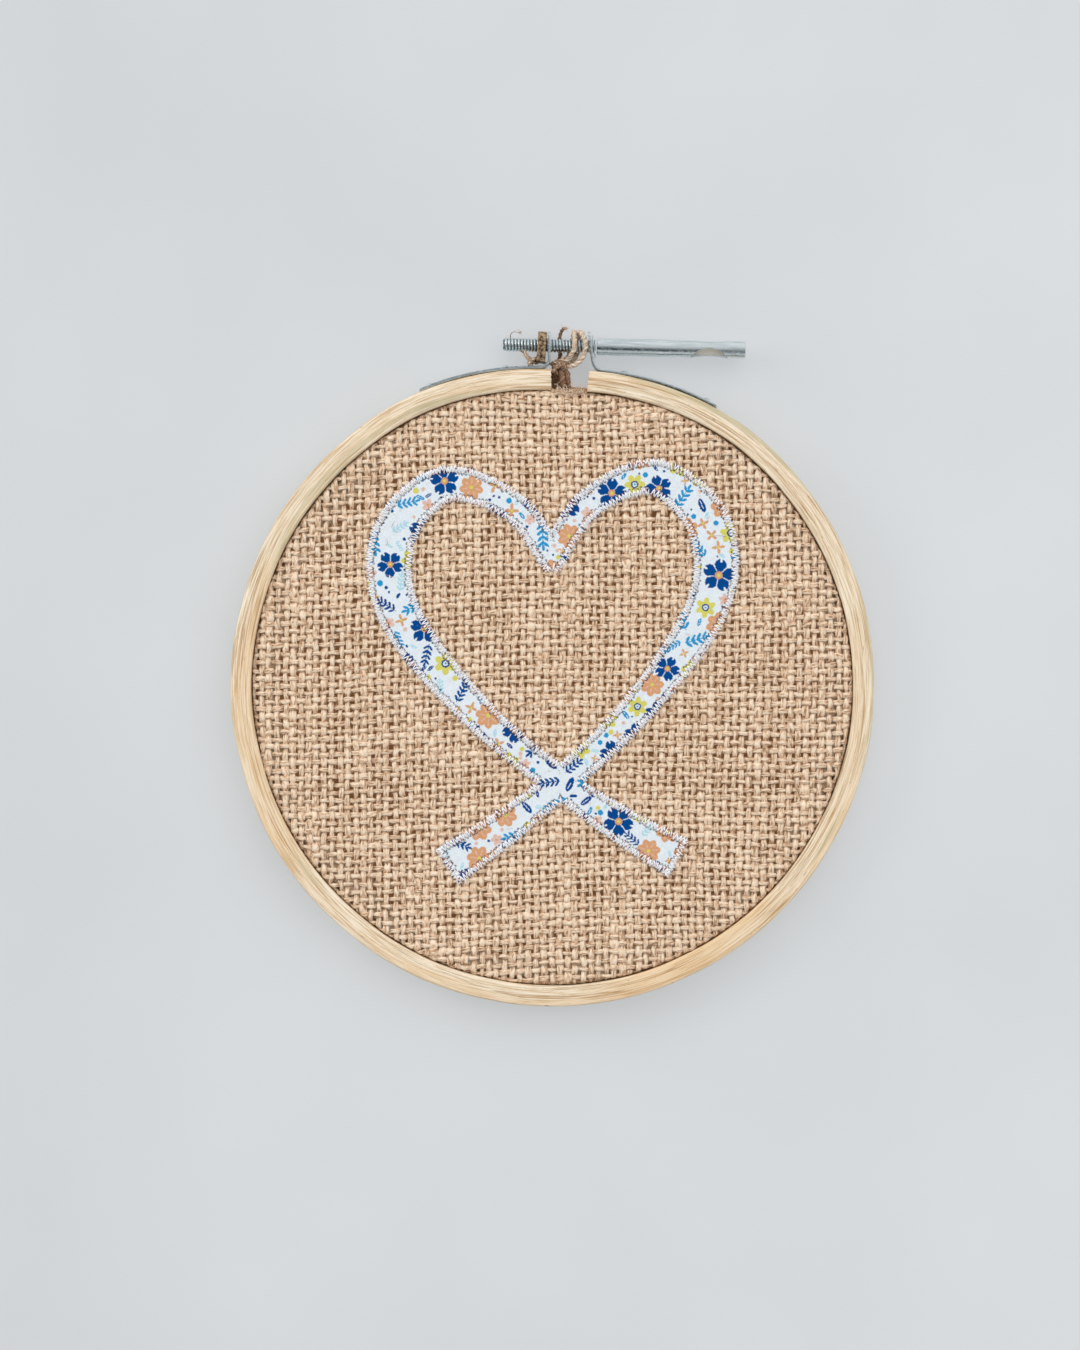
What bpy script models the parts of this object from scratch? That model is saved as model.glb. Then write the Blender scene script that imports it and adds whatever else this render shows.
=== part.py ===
"""Hoop embroidery art: burlap stretched in a wooden screw hoop, with a stitched-on cotton motif.

The front faces -Y and +Z is up. The origin is the hanging point, under the screw in the middle of
the hoop's gap. The hoop's pieces are modelled about the hoop's centre and hang from one empty.
"""
import math

import bmesh
import bpy
from mathutils import Matrix, Vector

# Driving dimensions in metres
FIT_GAP = 0.0003
HOOP_RADIUS = 0.0805
OUTER_WALL = 0.0052
INNER_WALL = 0.0046
HOOP_DEPTH = 0.0095
WOOD_ROUNDING = 0.0008
CLOTH_THICKNESS = 0.001
CLOTH_RECESS = 0.001
CLOTH_BACK_TRIM = 0.0006
STRAP_THICKNESS = 0.0007
STRAP_WIDTH = 0.007
ROD_RADIUS = 0.00175
SHANK_RADIUS = 0.0011
BARREL_RADIUS = 0.00215
BARREL_BORE = 0.00145
TWINE_RADIUS = 0.00055
THIN_TWINE_RADIUS = 0.0004

# Angles round the hoop in degrees, counted from +X towards +Z
GAP_RIGHT = 83.3
GAP_LEFT = 90.3
GAP_MIDDLE = (GAP_RIGHT + GAP_LEFT) / 2
STRAP_LEFT_END = 114.4
STRAP_RIGHT_END = 59.3
TACK_ANGLES = {"tack_left_outer": 112.3, "tack_left_inner": 98.5,
               "tack_right_inner": 77.0, "tack_right_outer": 61.5}

# The hoop is pressed a little inwards where its ends are drawn together
DIP_DEPTH = 0.0015
DIP_SPREAD = 17.0

# The screw's axis, seen from the hoop's centre, and its slope down to the right
SCREW_X = 0.0044
SCREW_Z = 0.08505
SCREW_TILT = 1.35
HANG_POINT = Vector((SCREW_X, 0.0, SCREW_Z - ROD_RADIUS))

# Radii and depths that follow from the above
FRONT_Y = -HOOP_DEPTH / 2
BACK_Y = HOOP_DEPTH / 2
OUTER_BORE = HOOP_RADIUS - OUTER_WALL
CLOTH_RADIUS = OUTER_BORE - FIT_GAP
CLOTH_FRONT_Y = FRONT_Y + CLOTH_RECESS
INNER_RADIUS = CLOTH_RADIUS - CLOTH_THICKNESS - FIT_GAP
INNER_FRONT_Y = CLOTH_FRONT_Y + CLOTH_THICKNESS + FIT_GAP
STRAP_RADIUS = HOOP_RADIUS + FIT_GAP + STRAP_THICKNESS / 2
HOLE_RADIUS = ROD_RADIUS + FIT_GAP

RING_STEPS = 96
ROUND_STEPS = 24

# Looks
WOOD_COLOUR = (0.78, 0.62, 0.40)
BURLAP_COLOUR = (0.58, 0.42, 0.27)
COTTON_COLOUR = (0.80, 0.84, 0.88)
ZINC_COLOUR = (0.62, 0.66, 0.66)
NUT_COLOUR = (0.42, 0.32, 0.20)
TWINE_COLOUR = (0.50, 0.36, 0.24)


def clear_scene():
    """Remove whatever the file holds, so that the model stands alone."""
    for thing in list(bpy.data.objects):
        bpy.data.objects.remove(thing, do_unlink=True)


def new_collection(name):
    """Make a collection in the scene."""
    collection = bpy.data.collections.new(name)
    bpy.context.scene.collection.children.link(collection)
    return collection


def new_material(name, colour, roughness, metallic=0.0):
    """Make one plain Principled material."""
    material = bpy.data.materials.new(name)
    material.use_nodes = True
    shader = material.node_tree.nodes["Principled BSDF"]
    shader.inputs["Base Color"].default_value = (*colour, 1.0)
    shader.inputs["Roughness"].default_value = roughness
    shader.inputs["Metallic"].default_value = metallic
    return material


def new_empty(name, parent, location, tilt=0.0):
    """Make an empty that carries pieces, turned about Y by a tilt in degrees."""
    empty = bpy.data.objects.new(name, None)
    PARTS.objects.link(empty)
    empty.parent = parent
    empty.location = location
    empty.rotation_euler = (0.0, math.radians(tilt), 0.0)
    return empty


def finish_mesh(name, bm, material, parent):
    """Turn a bmesh into a smooth-shaded object of the part."""
    bmesh.ops.recalc_face_normals(bm, faces=bm.faces)
    mesh = bpy.data.meshes.new(name)
    bm.to_mesh(mesh)
    bm.free()
    mesh.materials.append(material)
    mesh.shade_smooth()
    mesh.set_sharp_from_angle(angle=math.radians(35))
    thing = bpy.data.objects.new(name, mesh)
    PARTS.objects.link(thing)
    thing.parent = parent
    return thing


def dip(angle):
    """How far the hoop is pressed in at an angle in degrees."""
    return DIP_DEPTH * math.exp(-((angle - GAP_MIDDLE) / DIP_SPREAD) ** 2)


def on_hoop(radius, angle, depth=0.0):
    """A point at a radius and an angle in degrees, pressed in like the hoop."""
    pressed = radius - dip(angle)
    turn = math.radians(angle)
    return Vector((pressed * math.cos(turn), depth, pressed * math.sin(turn)))


def press_in(bm, full_from, none_under):
    """Press a round shape in near the gap, fading out towards the middle of a disc."""
    for vert in bm.verts:
        radius = math.hypot(vert.co.x, vert.co.z)
        if radius <= none_under:
            continue
        share = min((radius - none_under) / (full_from - none_under), 1.0)
        angle = math.degrees(math.atan2(vert.co.z, vert.co.x)) % 360
        scale = (radius - share * dip(angle)) / radius
        vert.co.x *= scale
        vert.co.z *= scale


def rounded_profile(inner, outer, front, back):
    """Corner points, as radius and depth, of a rectangle with rounded corners."""
    corners = [(outer - WOOD_ROUNDING, front + WOOD_ROUNDING, -90),
               (outer - WOOD_ROUNDING, back - WOOD_ROUNDING, 0),
               (inner + WOOD_ROUNDING, back - WOOD_ROUNDING, 90),
               (inner + WOOD_ROUNDING, front + WOOD_ROUNDING, 180)]
    points = []
    for radius, depth, start in corners:
        for turn in (0, 45, 90):
            angle = math.radians(start + turn)
            points.append((radius + WOOD_ROUNDING * math.cos(angle),
                           depth + WOOD_ROUNDING * math.sin(angle)))
    return points


def spun_ring(points, start, sweep, closed_profile=True):
    """Turn a profile of radius and depth about the hoop's axis, and close its ends."""
    bm = bmesh.new()
    turn = math.radians(start)
    verts = [bm.verts.new((r * math.cos(turn), y, r * math.sin(turn))) for r, y in points]
    pairs = list(zip(verts, verts[1:]))
    if closed_profile:
        pairs.append((verts[-1], verts[0]))
    edges = [bm.edges.new(pair) for pair in pairs]
    bmesh.ops.spin(bm, geom=verts + edges, cent=(0, 0, 0), axis=(0, -1, 0),
                   angle=math.radians(sweep), steps=RING_STEPS, use_duplicate=False)
    bmesh.ops.remove_doubles(bm, verts=bm.verts, dist=0.000001)
    open_edges = [edge for edge in bm.edges if edge.is_boundary]
    if open_edges:
        bmesh.ops.holes_fill(bm, edges=open_edges, sides=0)
    return bm


def turned(name, points, material, parent):
    """Turn a profile of distance and radius about the X axis into a closed solid."""
    bm = bmesh.new()
    verts = [bm.verts.new((along, 0.0, radius)) for along, radius in points]
    pairs = list(zip(verts, verts[1:]))
    if points[0][1] > 0.0:
        pairs.append((verts[-1], verts[0]))
    edges = [bm.edges.new(pair) for pair in pairs]
    bmesh.ops.spin(bm, geom=verts + edges, cent=(0, 0, 0), axis=(1, 0, 0),
                   angle=math.tau, steps=ROUND_STEPS, use_duplicate=False)
    bmesh.ops.remove_doubles(bm, verts=bm.verts, dist=0.000001)
    return finish_mesh(name, bm, material, parent)


def cutter_rod(name, radius, length, parent, matrix):
    """Make a hidden cylinder, along its own Z, that cuts a hole."""
    bm = bmesh.new()
    bmesh.ops.create_cone(bm, cap_ends=True, segments=16, radius1=radius, radius2=radius,
                          depth=length)
    mesh = bpy.data.meshes.new(name)
    bm.to_mesh(mesh)
    bm.free()
    cutter = bpy.data.objects.new(name, mesh)
    CUTTERS.objects.link(cutter)
    cutter.parent = parent
    cutter.matrix_local = matrix
    cutter.hide_render = True
    cutter.display_type = "WIRE"
    return cutter


def cut(thing, cutter, operation="DIFFERENCE"):
    """Add a Boolean modifier."""
    modifier = thing.modifiers.new(cutter.name, "BOOLEAN")
    modifier.operation = operation
    modifier.solver = "EXACT"
    modifier.object = cutter


def outer_ring():
    """Split wooden ring, open at the gap."""
    profile = rounded_profile(OUTER_BORE, HOOP_RADIUS, FRONT_Y, BACK_Y)
    bm = spun_ring(profile, GAP_LEFT, 360 - (GAP_LEFT - GAP_RIGHT))
    press_in(bm, full_from=0.05, none_under=0.04)
    return finish_mesh("outer_ring", bm, WOOD, HOOP)


def inner_ring():
    """Closed wooden ring that the cloth is stretched over."""
    profile = rounded_profile(INNER_RADIUS - INNER_WALL, INNER_RADIUS, INNER_FRONT_Y, BACK_Y)
    bm = spun_ring(profile, GAP_LEFT, 360)
    press_in(bm, full_from=0.05, none_under=0.04)
    return finish_mesh("inner_ring", bm, WOOD, HOOP)


def burlap():
    """Cloth: a taut disc with its margin turned back between the two rings."""
    bend = 0.0009
    inner_bend = 0.0002
    cloth_back = CLOTH_FRONT_Y + CLOTH_THICKNESS
    margin_end = BACK_Y - CLOTH_BACK_TRIM
    margin_inner = CLOTH_RADIUS - CLOTH_THICKNESS
    profile = [(0.0, CLOTH_FRONT_Y), (0.045, CLOTH_FRONT_Y), (CLOTH_RADIUS - bend, CLOTH_FRONT_Y)]
    for turn in (30, 60, 90):
        angle = math.radians(turn)
        profile.append((CLOTH_RADIUS - bend + bend * math.sin(angle),
                        CLOTH_FRONT_Y + bend - bend * math.cos(angle)))
    profile += [(CLOTH_RADIUS, margin_end), (margin_inner, margin_end),
                (margin_inner, cloth_back + inner_bend), (margin_inner - inner_bend, cloth_back),
                (0.045, cloth_back), (0.0, cloth_back)]
    bm = spun_ring(profile, GAP_LEFT, 360, closed_profile=False)
    press_in(bm, full_from=0.073, none_under=0.055)
    return finish_mesh("burlap_panel", bm, BURLAP, HOOP)


# The motif: one ribbon drawn as a heart, whose two ends cross under it
MOTIF_MIDDLE = Vector((0.001, 0.0, 0.0025))
MOTIF_LEAN = -2.0
MOTIF_HALF = [(-0.029, -0.047, 0.0102), (-0.0155, -0.0385, 0.0088), (0.0, -0.027, 0.0072),
              (0.020, -0.009, 0.0082), (0.0385, 0.016, 0.0105), (0.0395, 0.036, 0.0110),
              (0.0265, 0.0485, 0.0088), (0.0095, 0.0425, 0.0072), (-0.0012, 0.0275, 0.0066)]
MOTIF_STEPS = 5


def smooth_points(points, steps):
    """Points along a smooth curve through the given ones (Catmull-Rom)."""
    vectors = [Vector(point) for point in points]
    ends = [2 * vectors[0] - vectors[1]] + vectors + [2 * vectors[-1] - vectors[-2]]
    result = []
    for a, b, c, d in zip(ends, ends[1:], ends[2:], ends[3:]):
        for step in range(steps):
            t = step / steps
            result.append(0.5 * (2 * b + (c - a) * t + (2 * a - 5 * b + 4 * c - d) * t * t
                                 + (3 * b - a - 3 * c + d) * t ** 3))
    result.append(vectors[-1])
    return result


def ribbon_outline(side):
    """Outline of half of the motif; side is 1, or -1 for its mirror image."""
    left = []
    right = []
    line = smooth_points(MOTIF_HALF, MOTIF_STEPS)
    for index, point in enumerate(line):
        before = line[max(index - 1, 0)]
        after = line[min(index + 1, len(line) - 1)]
        along = Vector((after.x - before.x, after.y - before.y)).normalized()
        across = Vector((-along.y, along.x)) * point.z / 2
        left.append((side * (point.x + across.x), point.y + across.y))
        right.append((side * (point.x - across.x), point.y - across.y))
    return left + right[::-1]


def motif_half(name, side):
    """One half of the motif as a closed plate, made from a filled outline."""
    outline = ribbon_outline(side)
    curve = bpy.data.curves.new(name, "CURVE")
    curve.dimensions = "2D"
    curve.fill_mode = "BOTH"
    curve.extrude = CLOTH_THICKNESS / 2
    spline = curve.splines.new("POLY")
    spline.points.add(len(outline) - 1)
    for point, (x, z) in zip(spline.points, outline):
        point.co = (x, z, 0.0, 1.0)
    spline.use_cyclic_u = True
    flat = bpy.data.objects.new(name + "_outline", curve)
    PARTS.objects.link(flat)
    bpy.context.view_layer.update()
    evaluated = flat.evaluated_get(bpy.context.evaluated_depsgraph_get())
    bm = bmesh.new()
    bm.from_mesh(bpy.data.meshes.new_from_object(evaluated))
    bpy.data.objects.remove(flat, do_unlink=True)
    bmesh.ops.remove_doubles(bm, verts=bm.verts, dist=0.000001)
    return finish_mesh(name, bm, COTTON, HOOP)


def motif():
    """The cotton motif: two crossing halves joined into one flat piece on the burlap."""
    middle_y = CLOTH_FRONT_Y - FIT_GAP - CLOTH_THICKNESS / 2
    place = (Matrix.Translation(MOTIF_MIDDLE + Vector((0.0, middle_y, 0.0)))
             @ Matrix.Rotation(math.radians(MOTIF_LEAN), 4, "Y")
             @ Matrix.Rotation(math.radians(90), 4, "X"))
    whole = motif_half("motif", 1)
    whole.matrix_local = place
    other = motif_half("motif_other_half", -1)
    other.matrix_local = place
    PARTS.objects.unlink(other)
    CUTTERS.objects.link(other)
    other.hide_render = True
    other.display_type = "WIRE"
    cut(whole, other, "UNION")
    return whole


def bend_points(start, corner, end, steps):
    """Points of a smooth bend from start to end, pulled towards the corner."""
    points = []
    for step in range(steps + 1):
        t = step / steps
        points.append(start * (1 - t) ** 2 + corner * (2 * t * (1 - t)) + end * t * t)
    return points


def strap(name, far_angle, near_angle, corner, foot, top, rod_cutter):
    """Steel strap along the hoop's outside, bent up into a lug at the gap."""
    steps = 14
    turns = [far_angle + (near_angle - far_angle) * step / steps for step in range(steps)]
    path = [on_hoop(STRAP_RADIUS, angle) for angle in turns]
    path += bend_points(on_hoop(STRAP_RADIUS, near_angle), corner, foot, 6)
    path.append(top)
    bm = bmesh.new()
    half = Vector((0.0, STRAP_WIDTH / 2, 0.0))
    verts = [bm.verts.new(point - half) for point in path]
    edges = [bm.edges.new(pair) for pair in zip(verts, verts[1:])]
    grown = bmesh.ops.extrude_edge_only(bm, edges=edges)["geom"]
    moved = [item for item in grown if isinstance(item, bmesh.types.BMVert)]
    bmesh.ops.translate(bm, verts=moved, vec=half * 2)
    tips = [vert for vert in bm.verts if (vert.co - top).length < STRAP_WIDTH * 0.55]
    bmesh.ops.bevel(bm, geom=tips, offset=0.0018, segments=4, profile=0.5, affect="VERTICES")
    thing = finish_mesh(name, bm, ZINC, HOOP)
    shell = thing.modifiers.new("thickness", "SOLIDIFY")
    shell.thickness = STRAP_THICKNESS
    shell.offset = 0.0
    shell.use_even_offset = True
    cut(thing, rod_cutter)
    return thing


def nut_plate(rod_cutter):
    """Nut with a rounded top and a slanting foot that rests on the strap."""
    thickness = 0.0022
    width = 0.0072
    bottom = 0.0809
    top = 0.0884
    middle_x = -0.0027
    bm = bmesh.new()
    place = Matrix.Translation((middle_x, 0.0, (bottom + top) / 2))
    size = Matrix.Diagonal((thickness, width, top - bottom, 1.0))
    bmesh.ops.create_cube(bm, size=1.0, matrix=place @ size)
    upper = [edge for edge in bm.edges if min(v.co.z for v in edge.verts) > top - 0.0001]
    bmesh.ops.bevel(bm, geom=upper, offset=0.0009, segments=3, profile=0.5, affect="EDGES")
    thing = finish_mesh("nut_plate", bm, NUT_METAL, HOOP)
    foot_bm = bmesh.new()
    foot_place = (Matrix.Translation((-0.0045, 0.0, 0.0814))
                  @ Matrix.Rotation(math.radians(-43), 4, "Y"))
    bmesh.ops.create_cube(foot_bm, size=1.0,
                          matrix=foot_place @ Matrix.Diagonal((0.0024, 0.0052, 0.0007, 1.0)))
    foot = finish_mesh("nut_foot", foot_bm, NUT_METAL, HOOP)
    PARTS.objects.unlink(foot)
    CUTTERS.objects.link(foot)
    foot.hide_render = True
    foot.display_type = "WIRE"
    cut(thing, foot, "UNION")
    cut(thing, rod_cutter)
    return thing


def tack(name, angle, ring, carrier):
    """Round-headed tack through a strap into the outer ring, with its clearance holes."""
    turn = math.radians(angle)
    outward = Matrix.Rotation(math.radians(90) - turn, 4, "Y")
    seat = on_hoop(STRAP_RADIUS + STRAP_THICKNESS / 2 + FIT_GAP, angle)
    place = Matrix.Translation(seat) @ outward
    hole = cutter_rod(name + "_hole", 0.0008, 0.0092, HOOP, place)
    cut(ring, hole)
    cut(carrier, hole)
    bm = bmesh.new()
    profile = [(0.0006, 0.0), (0.0005, 0.0006), (0.0003, 0.0009), (0.0, 0.0011),
               (0.0, 0.00045), (-0.0042, 0.00045), (-0.0042, 0.0)]
    verts = [bm.verts.new((radius, 0.0, height)) for height, radius in profile]
    edges = [bm.edges.new(pair) for pair in zip(verts, verts[1:])]
    bmesh.ops.spin(bm, geom=verts + edges, cent=(0, 0, 0), axis=(0, 0, 1),
                   angle=math.tau, steps=12, use_duplicate=False)
    bmesh.ops.remove_doubles(bm, verts=bm.verts, dist=0.000001)
    thing = finish_mesh(name, bm, ZINC, HOOP)
    thing.matrix_local = place
    return thing


def screw_pieces():
    """Threaded rod, its washer and the long barrel that turns it, along the screw's axis."""
    rod_end = -0.0168
    shoulder = 0.0064
    shank_end = 0.016
    turned("screw_rod", [(rod_end, 0.0), (rod_end, 0.0013), (rod_end + 0.0004, ROD_RADIUS),
                         (shoulder, ROD_RADIUS), (shoulder, SHANK_RADIUS),
                         (shank_end, SHANK_RADIUS), (shank_end, 0.0)], ZINC, SCREW)
    washer_axis = new_empty("washer_axis", SCREW, (0.0060, 0.0, 0.0), tilt=-8.3)
    half = 0.00015
    turned("washer", [(-half, HOLE_RADIUS), (-half, 0.0029), (half, 0.0029),
                      (half, HOLE_RADIUS)], ZINC, washer_axis)
    start = 0.00675
    end = 0.0440
    barrel = turned("barrel", [(start, BARREL_BORE), (start, BARREL_RADIUS),
                               (end, BARREL_RADIUS), (end, BARREL_BORE)], ZINC, SCREW)
    scoop_x = 0.0350
    scoop_radius = 0.0059
    scoop_top = 0.0002
    place = (Matrix.Translation((scoop_x, 0.0, scoop_top - scoop_radius))
             @ Matrix.Rotation(math.radians(90), 4, "X"))
    bm = bmesh.new()
    bmesh.ops.create_cone(bm, cap_ends=True, segments=48, radius1=scoop_radius,
                          radius2=scoop_radius, depth=0.008)
    mesh = bpy.data.meshes.new("scoop")
    bm.to_mesh(mesh)
    bm.free()
    scoop = bpy.data.objects.new("scoop", mesh)
    CUTTERS.objects.link(scoop)
    scoop.parent = SCREW
    scoop.matrix_local = place
    scoop.hide_render = True
    scoop.display_type = "WIRE"
    cut(barrel, scoop)


# Twine routes from the hoop's centre, in metres: to the right, back and up
KNOT_MIDDLE = (0.0017, -0.0004, 0.0800)
KNOT_HALF_SIZE = (0.0016, 0.0019, 0.0017)
TWINE_ROUTES = {
    "twine_loop_left": [(0.0037, -0.0020, 0.0815), (0.0045, -0.0027, 0.0824),
                        (0.0053, -0.0028, 0.0838), (0.0056, -0.0027, 0.0857),
                        (0.0055, -0.0017, 0.0876), (0.0055, 0.0000, 0.0886),
                        (0.0053, 0.0017, 0.0876), (0.0049, 0.0027, 0.0858),
                        (0.0045, 0.0027, 0.0840), (0.0040, 0.0024, 0.0824)],
    "twine_loop_right": [(0.0044, -0.0014, 0.0799), (0.0058, -0.0022, 0.0803),
                         (0.0073, -0.0027, 0.0817), (0.0082, -0.0028, 0.0837),
                         (0.0083, -0.0027, 0.0857), (0.0077, -0.0018, 0.0875),
                         (0.0069, -0.0001, 0.0885), (0.0066, 0.0016, 0.0877),
                         (0.0066, 0.0027, 0.0860), (0.0065, 0.0027, 0.0843),
                         (0.0058, 0.0026, 0.0825), (0.0050, 0.0023, 0.0812)],
    "twine_end_up": [(0.0018, 0.0024, 0.0818), (0.0020, 0.0027, 0.0836),
                     (0.0018, 0.0027, 0.0856), (0.0018, 0.0022, 0.0873),
                     (0.0022, 0.0011, 0.0887), (0.0028, -0.0001, 0.0894),
                     (0.0033, -0.0010, 0.0894)],
    "twine_end_left": [(0.0010, 0.0029, 0.0805), (0.0000, 0.0041, 0.0808),
                       (-0.0018, 0.0045, 0.0811), (-0.0040, 0.0044, 0.0814),
                       (-0.0058, 0.0036, 0.0824), (-0.0078, 0.0028, 0.0840),
                       (-0.0098, 0.0026, 0.0858), (-0.0106, 0.0018, 0.0876),
                       (-0.0099, 0.0006, 0.0886), (-0.0086, -0.0004, 0.0884)],
    "twine_tuck_left": [(0.0024, -0.0012, 0.0776), (0.0024, -0.0010, 0.0764),
                        (0.0025, -0.0002, 0.0752), (0.0026, 0.0014, 0.0747),
                        (0.0026, 0.0030, 0.0747), (0.0025, 0.0042, 0.0747)],
    "twine_tuck_right": [(0.0037, -0.0006, 0.0783), (0.0038, -0.0008, 0.0768),
                         (0.0039, 0.0000, 0.0755), (0.0039, 0.0014, 0.0747),
                         (0.0040, 0.0030, 0.0747), (0.0040, 0.0042, 0.0747)],
}
THIN_TWINES = ("twine_end_left",)


def twine_piece(name, route):
    """One stretch of twine as a round tube along its route."""
    curve = bpy.data.curves.new(name, "CURVE")
    curve.dimensions = "3D"
    curve.bevel_depth = THIN_TWINE_RADIUS if name in THIN_TWINES else TWINE_RADIUS
    curve.bevel_resolution = 2
    curve.use_fill_caps = True
    points = smooth_points(route, 2)
    spline = curve.splines.new("POLY")
    spline.points.add(len(points) - 1)
    for point, place in zip(spline.points, points):
        point.co = (*place, 1.0)
    thing = bpy.data.objects.new(name, curve)
    PARTS.objects.link(thing)
    thing.parent = HOOP
    curve.materials.append(TWINE)


def twine():
    """The tie: a knot under the screw, loops over it and the loose ends."""
    bm = bmesh.new()
    bmesh.ops.create_uvsphere(bm, u_segments=16, v_segments=10, radius=1.0)
    bmesh.ops.scale(bm, vec=KNOT_HALF_SIZE, verts=bm.verts)
    knot = finish_mesh("twine_knot", bm, TWINE, HOOP)
    knot.location = KNOT_MIDDLE
    for name, route in TWINE_ROUTES.items():
        twine_piece(name, route)


clear_scene()
PARTS = new_collection("hoop_embroidery_art")
CUTTERS = new_collection("cutters")

WOOD = new_material("pale_bamboo", WOOD_COLOUR, 0.55)
BURLAP = new_material("burlap", BURLAP_COLOUR, 0.9)
COTTON = new_material("white_cotton", COTTON_COLOUR, 0.85)
ZINC = new_material("zinc_steel", ZINC_COLOUR, 0.3, 1.0)
NUT_METAL = new_material("brown_nut", NUT_COLOUR, 0.55, 0.6)
TWINE = new_material("jute_twine", TWINE_COLOUR, 0.9)

HOOP = new_empty("hoop_centre", None, -HANG_POINT)
SCREW = new_empty("screw_axis", HOOP, (SCREW_X, 0.0, SCREW_Z), SCREW_TILT)

rod_hole = cutter_rod("rod_hole", HOLE_RADIUS, 0.030, SCREW,
                      Matrix.Rotation(math.radians(90), 4, "Y"))

wood_ring = outer_ring()
inner_ring()
burlap()
motif()
left_strap = strap("strap_left", STRAP_LEFT_END, 92.2, Vector((-0.0008, 0.0, 0.0798)),
                   Vector((-0.0008, 0.0, 0.0820)), Vector((-0.0008, 0.0, 0.0885)), rod_hole)
right_strap = strap("strap_right", STRAP_RIGHT_END, 81.2, Vector((0.01035, 0.0, 0.0791)),
                    Vector((0.0100, 0.0, 0.0816)), Vector((0.00915, 0.0, 0.0885)), rod_hole)
nut_plate(rod_hole)
for tack_name, tack_angle in TACK_ANGLES.items():
    tack(tack_name, tack_angle, wood_ring, left_strap if "left" in tack_name else right_strap)
screw_pieces()
twine()
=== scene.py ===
"""The looks of the hoop embroidery art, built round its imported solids. Lengths are in metres."""
import math

import bmesh
import bpy
import numpy as np
from mathutils import Matrix, Vector, geometry, kdtree


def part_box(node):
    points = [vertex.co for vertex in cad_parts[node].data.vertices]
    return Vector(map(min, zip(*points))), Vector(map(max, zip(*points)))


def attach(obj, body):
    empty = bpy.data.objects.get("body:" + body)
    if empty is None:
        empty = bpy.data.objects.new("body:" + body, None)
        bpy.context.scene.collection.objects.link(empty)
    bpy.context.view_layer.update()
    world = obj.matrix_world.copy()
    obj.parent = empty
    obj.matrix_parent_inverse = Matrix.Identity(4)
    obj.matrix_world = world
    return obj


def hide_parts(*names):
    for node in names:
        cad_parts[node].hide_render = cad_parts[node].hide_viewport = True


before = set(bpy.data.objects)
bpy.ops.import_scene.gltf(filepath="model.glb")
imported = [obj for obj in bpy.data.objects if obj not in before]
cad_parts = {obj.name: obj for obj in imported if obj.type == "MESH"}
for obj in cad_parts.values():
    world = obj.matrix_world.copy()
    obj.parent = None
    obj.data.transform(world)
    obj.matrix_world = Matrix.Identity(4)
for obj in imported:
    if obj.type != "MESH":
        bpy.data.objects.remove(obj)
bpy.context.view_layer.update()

MM = 0.001
random = np.random.default_rng(11)


def half_width(node):
    """Half the width of a solid."""
    low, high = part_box(node)
    return (high[0] - low[0]) / 2


# The hoop's sizes and its centre, read from the solids
OUTER_LOW, OUTER_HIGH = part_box("outer_ring")
HOOP_RADIUS = half_width("outer_ring")
CENTRE = np.array([OUTER_LOW[0] + HOOP_RADIUS, 0.0, OUTER_LOW[2] + HOOP_RADIUS])
FRONT_Y = OUTER_LOW[1]
BACK_Y = OUTER_HIGH[1]
OUTER_BORE = HOOP_RADIUS - 5.2 * MM
CLOTH_RADIUS = half_width("burlap_panel")
CLOTH_FRONT_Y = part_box("burlap_panel")[0][1]
INNER_RADIUS = half_width("inner_ring")
INNER_WALL = 4.6 * MM
INNER_FRONT_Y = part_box("inner_ring")[0][1]

# The gap's angles in degrees, from +X towards +Z, and how the hoop is pressed in there
GAP_RIGHT = 83.3
GAP_LEFT = 90.3
GAP_MIDDLE = (GAP_RIGHT + GAP_LEFT) / 2
DIP_DEPTH = 1.5 * MM
DIP_SPREAD = 17.0

# The photograph's scale and frame
PIXEL = 0.25 * MM
FRAME_WIDTH_PX = 1080
FRAME_HEIGHT_PX = 1350
HOOP_CENTRE_PX = (552.5, 684.8)
CAMERA_DISTANCE = 1.1


def srgb(*screen):
    """A colour given as 0 to 255 screen values, in linear light."""
    shares = [value / 255 for value in screen]
    return tuple(share / 12.92 if share <= 0.04045 else ((share + 0.055) / 1.055) ** 2.4
                 for share in shares)


def dip(angle):
    """How far the hoop is pressed in at angles in degrees."""
    return DIP_DEPTH * np.exp(-((angle - GAP_MIDDLE) / DIP_SPREAD) ** 2)


def round_hoop(radius, turn, depth):
    """Points at a radius and a turn about the hoop's axis, and at a depth."""
    return np.stack(np.broadcast_arrays(radius * np.cos(turn), depth, radius * np.sin(turn)), -1)


def hoop_point(radius, angle, depth=0.0):
    """A point at a radius and an angle in degrees, pressed in like the hoop."""
    return round_hoop(radius - dip(angle), math.radians(angle), depth)


def wobble(along, scale, strength, waves=4):
    """Smooth random waves along a line, from a few sines with random phases."""
    total = np.zeros_like(along)
    for _ in range(waves):
        length = scale * random.uniform(0.6, 1.8)
        total += np.sin(along / length * math.tau + random.uniform(0, math.tau))
    return total * strength / math.sqrt(waves)


def unit(vectors):
    """Vectors scaled to length one."""
    return vectors / np.maximum(np.linalg.norm(vectors, axis=-1, keepdims=True), 1e-12)


def headings(path):
    """The direction of a path at each of its points."""
    return unit(np.gradient(path, axis=0))


def lengths_along(path):
    """The length of a path up to each of its points."""
    return np.concatenate([[0.0], np.cumsum(np.linalg.norm(np.diff(path, axis=0), axis=1))])


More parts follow.
